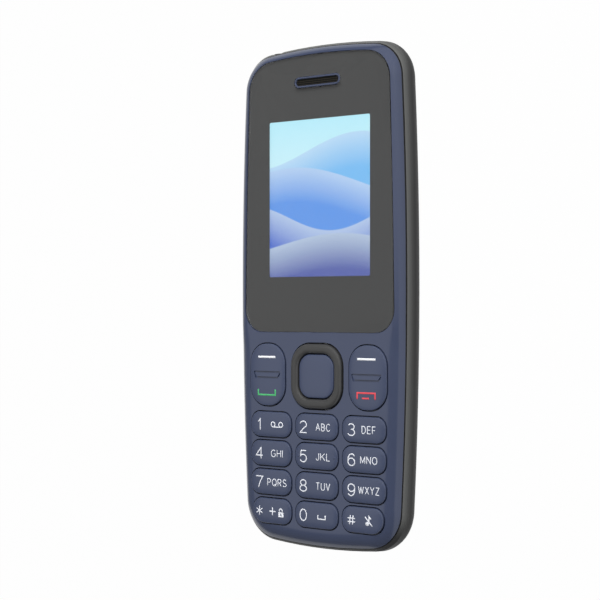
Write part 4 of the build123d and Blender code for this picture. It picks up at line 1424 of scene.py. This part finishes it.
@dataclass
class Keypad:
    """Twelve number keys in three columns and four rows, with their legends."""

    cap: Material
    press: LegendPress
    names: tuple[str, ...] = ("1", "2", "3", "4", "5", "6", "7", "8", "9", "star", "0", "hash")
    words: tuple[str, ...] = ("", "ABC", "DEF", "GHI", "JKL", "MNO", "PQRS", "TUV", "WXYZ", "", "", "")
    word_widths: tuple[float, ...] = (0.0, 4.0, 3.7, 3.4, 3.9, 4.5, 5.5, 3.9, 5.6, 0.0, 0.0, 0.0)
    columns: tuple[float, float, float] = (-12.93, 0.0, 12.93)
    widths: tuple[float, float, float] = (11.55, 11.8, 11.55)
    low_columns: tuple[float, float, float] = (-12.60, 0.0, 12.60)
    low_widths: tuple[float, float, float] = (11.0, 11.8, 11.0)
    first_row: float = -28.85
    row_pitch: float = 6.53
    height: float = 5.7
    radius: float = 2.4
    low_radius: float = 3.2
    digit_x: tuple[float, float, float] = (-16.15, -3.5, 9.78)
    word_x: tuple[float, float, float] = (-11.05, 2.03, 14.42)
    digit_size: tuple[float, float] = (2.2, 2.78)
    digit_pen: float = 0.24
    one_width: float = 1.0
    word_height: float = 1.72
    word_pen: float = 0.17
    line_drop: float = 0.1
    word_rise: float = 0.1
    nib_reach: float = 5.0
    nib_radius: float = 0.3
    nib_height: float = 0.15
    nib_sink: float = 0.02
    nib_tip_share: float = 0.03

    def caps(self) -> list[KeyCap]:
        """Place the twelve keys; the outer corners of the last row are rounder.

        Returns:
            The keys' caps, row by row.
        """
        made = []
        for index, name in enumerate(self.names):
            row, column = divmod(index, 3)
            x, width, radii = self.columns[column], self.widths[column], [self.radius] * 4
            if row == 3:
                x, width = self.low_columns[column], self.low_widths[column]
                if column != 1:
                    radii[column // 2] = self.low_radius
            y = self.first_row - row * self.row_pitch
            made.append(KeyCap(f"key_{name}", x, y, width, self.height, radii))
        return made

    def signs(self) -> dict[str, list[Legend]]:
        """Draw the signs of four keys: rings, star, plus and lock, space, hash and a struck note.

        Returns:
            For each key, its legends, with heights from its row's line.
        """
        rings = [Stroke(bow(side * 1.1, 0.12, 0.55, 0.55, 0, 345, 24), 0.23, True) for side in (-1, 1)]
        voicemail = (*rings, Stroke([(-1.2, -0.45), (1.2, -0.45)], 0.23))

        star = [Stroke([(0.0, 0.0), tip], 0.22) for tip in bow(0.0, 0.0, 1.05, 1.05, 90, 390, 6)]
        plus = [Stroke([(-1.95, 0.0), (-0.15, 0.0)], 0.26), Stroke([(-1.05, -0.9), (-1.05, 0.9)], 0.26)]
        shackle = Stroke([(0.95, 0.05), *bow(1.35, 0.3, 0.4, 0.42, 180, 0, 11), (1.75, 0.05)], 0.24)
        lock = [Stroke([(0.62, y), (2.08, y)], thick) for y, thick in ((-1.0, 0.3), (-0.2, 0.34))]
        lock += [Stroke([(side, -0.9), (side, -0.3)], 0.58) for side in (0.91, 1.79)]

        space = Stroke([(-1.02, 0.45), (-1.02, -0.42), (1.02, -0.42), (1.02, 0.45)], 0.26)

        bars = []
        for place in (-0.38, 0.38):
            bars.append(Stroke([(place - 0.1, -1.0), (place + 0.1, 1.0)], 0.24))
            bars.append(Stroke([(-1.0, place), (1.0, place)], 0.24))
        note = (
            Stroke(bow(-0.35, -0.62, 0.26, 0.2, 0, 330, 12), 0.46, True),
            Stroke([(0.1, -0.6), (0.1, 0.95), (0.62, 0.45)], 0.3),
            Stroke([(-0.95, 0.9), (0.95, -1.05)], 0.25),
        )
        return {
            "1": [Legend(-11.05, 0.0, strokes=voicemail)],
            "star": [
                Legend(self.digit_x[0], 0.0, strokes=tuple(star)),
                Legend(-11.25, 0.05, strokes=(*plus, shackle, *lock)),
            ],
            "0": [Legend(1.65, -0.15, strokes=(space,))],
            "hash": [Legend(self.digit_x[2], 0.0, strokes=tuple(bars)), Legend(14.4, 0.1, strokes=note)],
        }

    def legends(self, index: int) -> list[Legend]:
        """Set a key's digit, its letters and its signs.

        Args:
            index: The key's number, row by row.

        Returns:
            Its legends.
        """
        row, column = divmod(index, 3)
        line = self.first_row - row * self.row_pitch - self.line_drop
        name, word, found = self.names[index], self.words[index], []
        if name.isdigit():
            width, height = self.digit_size
            width = self.one_width if name == "1" else width
            found.append(Legend(self.digit_x[column], line, name, width, height, thick=self.digit_pen))
        if word:
            x, y, width = self.word_x[column], line + self.word_rise, self.word_widths[index]
            found.append(Legend(x, y, word, width, self.word_height, thick=self.word_pen))
        return found + [replace(sign, y=line + sign.y) for sign in self.signs().get(name, [])]

    def build(self) -> None:
        """Build, dress and print every key."""
        for index, (name, cap) in enumerate(zip(self.names, self.caps())):
            seat(cap.build(f"cap_{name}"), self.cap, cap.name, "blue_key", cap.name)
            for number, legend in enumerate(self.legends(index)):
                self.press.print(f"legend_{name}_{number}", legend, cap.crown, cap.name)
            if name == "5":
                self.nibs(cap)

    def nibs(self, cap: KeyCap) -> None:
        """Raise the two small domes that a thumb feels on the middle key.

        Each is a quarter of an ellipse turned about its middle.

        Args:
            cap: The key.
        """
        for side, word in ((-1, "left"), (1, "right")):
            x = cap.x + side * self.nib_reach
            base = float(cap.crown(np.array([x]), np.array([cap.y]))[0]) - self.nib_sink
            loops = []
            for angle in np.linspace(0, math.pi / 2, 6):
                share = max(math.cos(angle), self.nib_tip_share)
                ring = circle(self.nib_radius * share, 20, (x, cap.y))
                loops.append(lift(ring, base + self.nib_height * math.sin(angle)))
            seat(loft(f"nib_{word}", loops), self.cap, cap.name, "blue_key")


@dataclass
class CallKeys:
    """The two tall rocker keys beside the ring, each with a bar in a groove."""

    cap: Material
    press: LegendPress
    x: float = 13.95
    y: float = -17.60
    width: float = 10.05
    height: float = 14.1
    radius: float = 4.55
    flange: float = 0.15
    flange_reach: tuple[float, float] = (0.3, 0.3)
    groove_width: float = 0.4
    groove_depth: float = 0.36
    bar_sides: tuple[tuple[float, float], ...] = ((-17.95, -9.95), (9.6, 17.85))
    bar_levels: tuple[float, float] = (-18.45, -16.8)
    bar_slant: float = 0.6
    bar_radius: float = 0.3
    bar_tighten: float = 0.5
    bar_bow: float = 0.002
    overrun: float = 1.0
    edge: float = 0.06

    def caps(self) -> list[KeyCap]:
        """Place the two keys.

        Returns:
            The caps of the left and the right key.
        """
        sizes = (self.y, self.width, self.height, self.radius)
        foot = {"flange": self.flange, "flange_reach": self.flange_reach}
        return [KeyCap(name, x, *sizes, **foot) for name, x in (("call_key", -self.x), ("end_key", self.x))]

    def bar(self, side: int, inset: float) -> np.ndarray:
        """Draw a bar in by an inset: a trapezoid that widens upwards.

        Its sides bow by a hair, because an arc is set by three points off a line.

        Args:
            side: 0 for the left key, 1 for the right one.
            inset: How far in, in millimetres.

        Returns:
            The loop's points.
        """
        left, right = self.bar_sides[side][0] + inset, self.bar_sides[side][1] - inset
        low, high, slant = self.bar_levels[0] + inset, self.bar_levels[1] - inset, self.bar_slant
        corners = [(left + slant, low), (right - slant, low), (right, high), (left, high)]
        x, y, out = (left + right) / 2, (low + high) / 2, self.bar_bow
        outer, inner = right - slant / 2 + out, left + slant / 2 - out
        middles = [(x, low - out), (outer, y), (x, high + out), (inner, y)]
        radius = self.bar_radius - self.bar_tighten * inset
        return filleted_loop(corners, middles, [radius] * 4, [12, 4, 12, 4], 5)

    def groove_tool(self, side: int, top: float) -> Object:
        """Make the closed ring that cuts the groove round a bar.

        Args:
            side: 0 for the left key, 1 for the right one.
            top: The height of the key's middle.

        Returns:
            The ring.
        """
        wide, narrow = self.bar(side, 0.0), self.bar(side, self.groove_width)
        low, high = top - self.groove_depth, top + self.overrun
        corners = ((narrow, low), (wide, low), (wide, high), (narrow, high))
        return loft("tool", [lift(loop, z) for loop, z in corners], ring=True)

    def signs(self, side: int) -> list[Legend]:
        """Draw the dash at the top and the bracket at the foot.

        Args:
            side: 0 for the left key, 1 for the right one.

        Returns:
            The two legends.
        """
        if side == 0:
            tint, dash = Tint.GREEN, [(-16.57, -13.6), (-11.5, -13.6)]
            bracket = [Stroke([(-16.5, -20.95), (-16.5, -22.2), (-11.55, -22.2), (-11.55, -20.95)], 0.38)]
        else:
            tint, dash = Tint.RED, [(11.3, -13.6), (16.2, -13.6)]
            bracket = [Stroke([(11.32, -22.25), (11.32, -20.9), (16.07, -20.9), (16.07, -22.25)], 0.38)]
            bracket.append(Stroke([(12.6, -22.05), (14.5, -22.05)], 0.36))
        return [
            Legend(0, 0, strokes=(Stroke(dash, 0.48),), tint=Tint.PALE),
            Legend(0, 0, strokes=tuple(bracket), tint=tint),
        ]

    def build(self) -> None:
        """Build each key, sink its bar and print its signs."""
        for side, (cap, word) in enumerate(zip(self.caps(), ("left", "right"))):
            key = cap.build(f"rocker_{word}")
            carve(key, [self.groove_tool(side, cap.top)])
            round_edges(key, self.edge)
            seat(key, self.cap, cap.name, "blue_key", cap.name)
            for number, legend in enumerate(self.signs(side)):
                self.press.print(f"sign_{cap.name}_{number}", legend, cap.crown, cap.name)


@dataclass
class NavigationPad:
    """The four-way ring round the middle key."""

    plastic: Material
    cap: Material
    y: float = -17.65
    outer: tuple[float, float, float] = (14.1, 14.4, 5.0)
    hole: tuple[float, float, float] = (10.0, 10.1, 3.2)
    key: tuple[float, float, float] = (9.6, 9.7, 3.0)
    top: float = 13.6
    base: float = 10.8
    round_mm: float = 0.75
    power: float = 3.2
    root: float = 2.2
    gap: float = 0.05

    def opening(self) -> KeyCap:
        """Return the ring's place in the front, as a key a little wider than the ring."""
        width, height, radius = (size + step * self.gap for size, step in zip(self.outer, (2, 2, 1)))
        return KeyCap("nav_ring", 0.0, self.y, width, height, radius)

    def build(self) -> None:
        """Carry a crowned section round the ring, and set the middle key in it.

        The section's height is the top less the round times one less a root of
        one less a power of the reach from its middle. Its loops run from the
        ring's outside to its hole.
        """
        rows = [(self.base, 0.0)]
        for turn in np.linspace(-1, 1, 21):
            reach = math.sin(turn * math.pi / 2)
            drop = 1 - (1 - min(abs(reach), 1.0) ** self.power) ** (1 / self.root)
            rows.append((self.top - self.round_mm * drop, (reach + 1) / 2))
        rows.append((self.base, 1.0))
        outer, inner = (rounded_rectangle(*sizes, 14, 14) for sizes in (self.outer, self.hole))
        loops = [lift(outer * (1 - share) + inner * share + (0, self.y), z) for z, share in rows]
        seat(loft("pad_ring", loops, CRISP, ring=True), self.plastic, "nav_ring", "ring_grey", "nav_ring")
        top = {"edge_drop": 0.12, "edge_round": 0.3, "flange_reach": (0.0, 0.0)}
        middle = KeyCap("ok_key", 0.0, self.y, *self.key, **top)
        seat(middle.build("middle_key"), self.cap, "ok_key", "blue_key", "ok_key")


# The studio

@dataclass
class Studio:
    """A white floor, soft lamps and a camera at the photograph's angle."""

    camera_place: tuple[float, float, float] = (204.4, -2.67, 278.2)
    yaw: float = 37.6
    lens_mm: float = 90.8
    shift: tuple[float, float] = (-0.0283, 0.0145)
    lamps: tuple[tuple[str, tuple[float, float, float], float, float], ...] = (
        ("key_lamp", (0.12, 0.5, 0.62), 0.6, 5.8),
        ("side_lamp", (0.42, 0.32, 0.68), 0.4, 1.4),
    )
    ambient: float = 0.25
    floor_z: float = -400.0
    floor_reach: float = 2500.0
    panels: tuple[tuple[float, float, float, float], ...] = (
        (-0.52, 0.5, -60.0, -0.03),
        (-5.0, -1.05, -60.0, 60.0),
        (-60.0, 0.15, -5.0, -0.34),
    )
    panel_soft: float = 0.06
    panel_light: float = 0.08
    least_height: float = 0.05

    def build(self) -> None:
        """Make the floor, the world, the lamps and the camera."""
        self.floor()
        self.world()
        for lamp in self.lamps:
            self.lamp(*lamp)
        self.camera()

    def floor(self) -> None:
        """Lay a wide floor of matt white board, well below the phone."""
        x, y = np.meshgrid(*[np.linspace(-self.floor_reach, self.floor_reach, 3)] * 2)
        vertices = lift(np.column_stack([x.ravel(), y.ravel()]), self.floor_z)
        faces = [[first, first + 1, first + 4, first + 3] for first in (0, 1, 3, 4)]
        board = make_object("studio_floor", vertices, faces)
        dress(board, MattBoard("matt_white_board").build())
        board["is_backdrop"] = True

    def world(self) -> None:
        """Light everything evenly, and stand white walls round it for reflections.

        Only mirrored rays meet the three dark panels: one towards the foot, one
        on the left, and one low at the left and the foot. A direction meets a
        panel where x over z and y over z lie between the panel's limits.
        """
        world = bpy.data.worlds.new("soft_studio")
        world.use_nodes = True
        tree = world.node_tree
        tree.nodes.clear()
        coords = add_node(tree, "TexCoord", out="Generated")
        x, y, z = add_node(tree, "SeparateXYZ", {0: coords}).node.outputs
        height = add_node(tree, "Math", {0: z, 1: self.least_height}, operation="MAXIMUM")
        across, along = (add_node(tree, "Math", {0: axis, 1: height}, operation="DIVIDE") for axis in (x, y))
        dark: NodeSocket | float = 0.0
        for left, right, low, high in self.panels:
            sides = share_between(tree, across, left, right, self.panel_soft)
            ends = share_between(tree, along, low, high, self.panel_soft)
            panel = add_node(tree, "Math", {0: sides, 1: ends}, operation="MULTIPLY")
            dark = add_node(tree, "Math", {0: dark, 1: panel}, operation="MAXIMUM")
        wall = add_node(tree, "MapRange", {"Value": dark, "To Min": 1.0, "To Max": self.panel_light})
        rays = add_node(tree, "LightPath").node.outputs
        seen = add_node(tree, "Math", {0: rays["Is Glossy Ray"], 1: wall}, operation="MULTIPLY")
        for kind in ("Camera", "Transmission"):
            seen = add_node(tree, "Math", {0: seen, 1: rays[f"Is {kind} Ray"]}, operation="MAXIMUM")
        strength = add_node(tree, "MapRange", {"Value": seen, "To Min": self.ambient, "To Max": 1.0})
        back = add_node(tree, "Background", {"Color": WHITE, "Strength": strength})
        add_node(tree, "OutputWorld", {"Surface": back})
        bpy.context.scene.world = world

    def lamp(self, name: str, place: tuple[float, float, float], size: float, power: float) -> None:
        """Hang a square soft lamp that points at the phone.

        Args:
            name: The lamp's name.
            place: Where it hangs, in metres.
            size: Its side in metres.
            power: Its power in watts.
        """
        light = bpy.data.lights.new(name, "AREA")
        light.size, light.energy = size, power
        hung = bpy.data.objects.new(name, light)
        bpy.context.scene.collection.objects.link(hung)
        hung.visible_glossy = False
        hung.location = place
        hung.rotation_euler = Vector(place).to_track_quat("Z", "Y").to_euler()

    def camera(self) -> None:
        """Set the camera: turned about the phone's length by the yaw angle."""
        lens = bpy.data.cameras.new("camera")
        lens.lens, lens.sensor_width, lens.clip_start = self.lens_mm, 36.0, 0.01
        lens.shift_x, lens.shift_y = self.shift
        camera = bpy.data.objects.new("camera", lens)
        bpy.context.scene.collection.objects.link(camera)
        place = Vector(self.camera_place) * MM
        camera.matrix_world = Matrix.Translation(place) @ Matrix.Rotation(math.radians(self.yaw), 4, "Y")
        bpy.context.scene.camera = camera


def save_size(key: str, bounds: Sequence[Sequence[float]], sizes: dict[str, list[list[float]]]) -> None:
    """Args:
        key: The box's name.
        bounds: Its lowest and highest corner.
        sizes: The boxes so far, which this one joins.
    """
    sizes[key] = [[float(v) for v in corner] for corner in bounds]


def dress_carried(display: Display, cover: BackCover) -> None:
    """Give each CAD node that keeps its shape its finish, and report it.

    Args:
        display: The display, whose window is the picture's place and size.
        cover: The back cover, which has the camera window.
    """
    width, height, y = display.window
    finishes: dict[Finish, str] = {
        # Coarse and matt, so the frame recedes, with a painted highlight: a paler colour on the sides,
        # stronger towards the seam.
        MouldedPlastic("moulded_abs_charcoal", "#242425", 0.5, specular=0.25, painted_highlight="#666766"): (
            "rear_housing"
        ),
        # A dull black that hides the small parts' edges.
        MouldedPlastic("moulded_nylon_black", "#1b1b1c", 0.5): (
            "audio_jack camera_module loudspeaker earpiece_receiver"
        ),
        # Tin plate: bright, with fine streaks from the rolls.
        PressedMetal("pressed_tinplate", "#b4b7ba"): (
            "usb_port dome_film shield_can sim_socket_left sim_socket_right card_socket microphone"
        ),
        # Plain steel: darker, with the same streaks.
        PressedMetal("turned_screw_steel", "#6d7075"): (
            "vibration_motor housing_screw_1 housing_screw_2 housing_screw_3 housing_screw_4"
        ),
        # Gold plating: warm, and brighter than the tin.
        PressedMetal("plated_contact_gold", "#d8b060", 0.25): "battery_contacts",
        # Silicone rubber: pale, soft and without a clear highlight.
        MouldedPlastic("pressed_silicone_clear", "#c9ccd0", 0.6, ior=1.41): "keypad_mat nav_carrier",
        # Solder mask over glass cloth: green, with cloudy tones and a satin gloss.
        MouldedPlastic("masked_glass_epoxy_board", "#1d5a3a", 0.35, drift=0.12): "main_board",
        # A shrunk film: dark, satin and a little uneven.
        MouldedPlastic("printed_polyester_wrap", "#2c2e33", 0.35, 0.6): "battery",
        # Copper seen through amber film: brown and satin.
        MouldedPlastic("laminated_polyimide_foil", "#9a5a1c", 0.35): "display_flex",
        # Float glass over black: dark, with a mirror's gloss and no grain.
        MouldedPlastic("polished_glass_dark", "#101114", 0.06, grain_depth=0.0): "display_glass",
        # A light guide: an even milky white.
        MouldedPlastic("moulded_acrylic_white", "#e8e8e4", 0.4): "display_backlight",
        # Lit from behind: bright and even from any side.
        LitScreen("lit_liquid_crystal", (0.0, y), width, height): "display_panel",
        # Coated glass: a dark pane with a deeper pupil.
        CameraGlass("coated_camera_glass", (0.0, cover.window_y)): "camera_window",
        # Woven cloth: black dots in a dull brown grid.
        DottedMesh("woven_acoustic_mesh", "#08090c", "#3a372e"): "speaker_mesh earpiece_mesh",
    }
    for finish, names in finishes.items():
        material = finish.build()
        for name in names.split():
            dress(bpy.data.objects[name], material)
            log.info("%s keeps its CAD shape, in %s", name, material.name)


def main() -> None:
    """Build the phone's visible pieces over the frame, and the studio round it."""
    logging.basicConfig(level=logging.INFO, format="%(name)s: %(message)s")
    sizes: dict[str, list[list[float]]] = {}
    save_size("cad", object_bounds(), sizes)
    bpy.context.scene.view_settings.view_transform = "Standard"

    # Polished moulds leave a soft gloss on the front, and a duller one on the keys.
    blue = MouldedPlastic("moulded_polycarbonate_blue", "#3b445e", 0.18, grain_depth=0.004).build()
    key_blue = MouldedPlastic("moulded_polycarbonate_key", "#3f4862", 0.22, grain_depth=0.004).build()
    # A satin grey, whose round highlight sets the ring off from the keys.
    grey = MouldedPlastic("moulded_abs_grey", "#3a3a3a", 0.34).build()
    # A cross-hatched sheen, which tells the cover from the front.
    weave = WovenCover("etched_polycarbonate_blue", "#333c54").build()
    # Clear and hard: it mirrors the studio over the mask's even grey.
    acrylic = ClearAcrylic("polished_acrylic_clear").build()
    mask = PrintedInk("screen_printed_ink_grey", "#4e4e4d").build()
    # Flat inks with a little painted glow, emission that brightens the legends with no lamp behind them.
    press = LegendPress(
        {
            Tint.WHITE: PrintedInk("pad_printed_ink_white", "#eef1f8", painted_glow=0.16).build(),
            Tint.PALE: PrintedInk("pad_printed_ink_pale", "#f1f3f7", painted_glow=0.2).build(),
            Tint.GREEN: PrintedInk("pad_printed_ink_green", "#4fb472", painted_glow=0.2).build(),
            Tint.RED: PrintedInk("pad_printed_ink_red", "#dd4d56", painted_glow=0.2).build(),
        }
    )

    levels, outline, lens = Levels(), Outline(), LensOutline()
    keypad, rockers = Keypad(key_blue, press), CallKeys(key_blue, press)
    pad, cover = NavigationPad(grey, key_blue), BackCover(weave, grey, outline, levels)
    earpiece = Earpiece(blue)
    display = Display(acrylic, mask, lens, levels, earpiece)
    FrontShell(blue, outline, lens, levels, [*keypad.caps(), *rockers.caps(), pad.opening()]).build()
    cover.build()
    cover.bezel()
    display.build()
    earpiece.build()
    keypad.build()
    rockers.build()
    pad.build()
    dress_carried(display, cover)
    Studio().build()
    save_size("visual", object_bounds(), sizes)


if __name__ == "__main__":
    main()
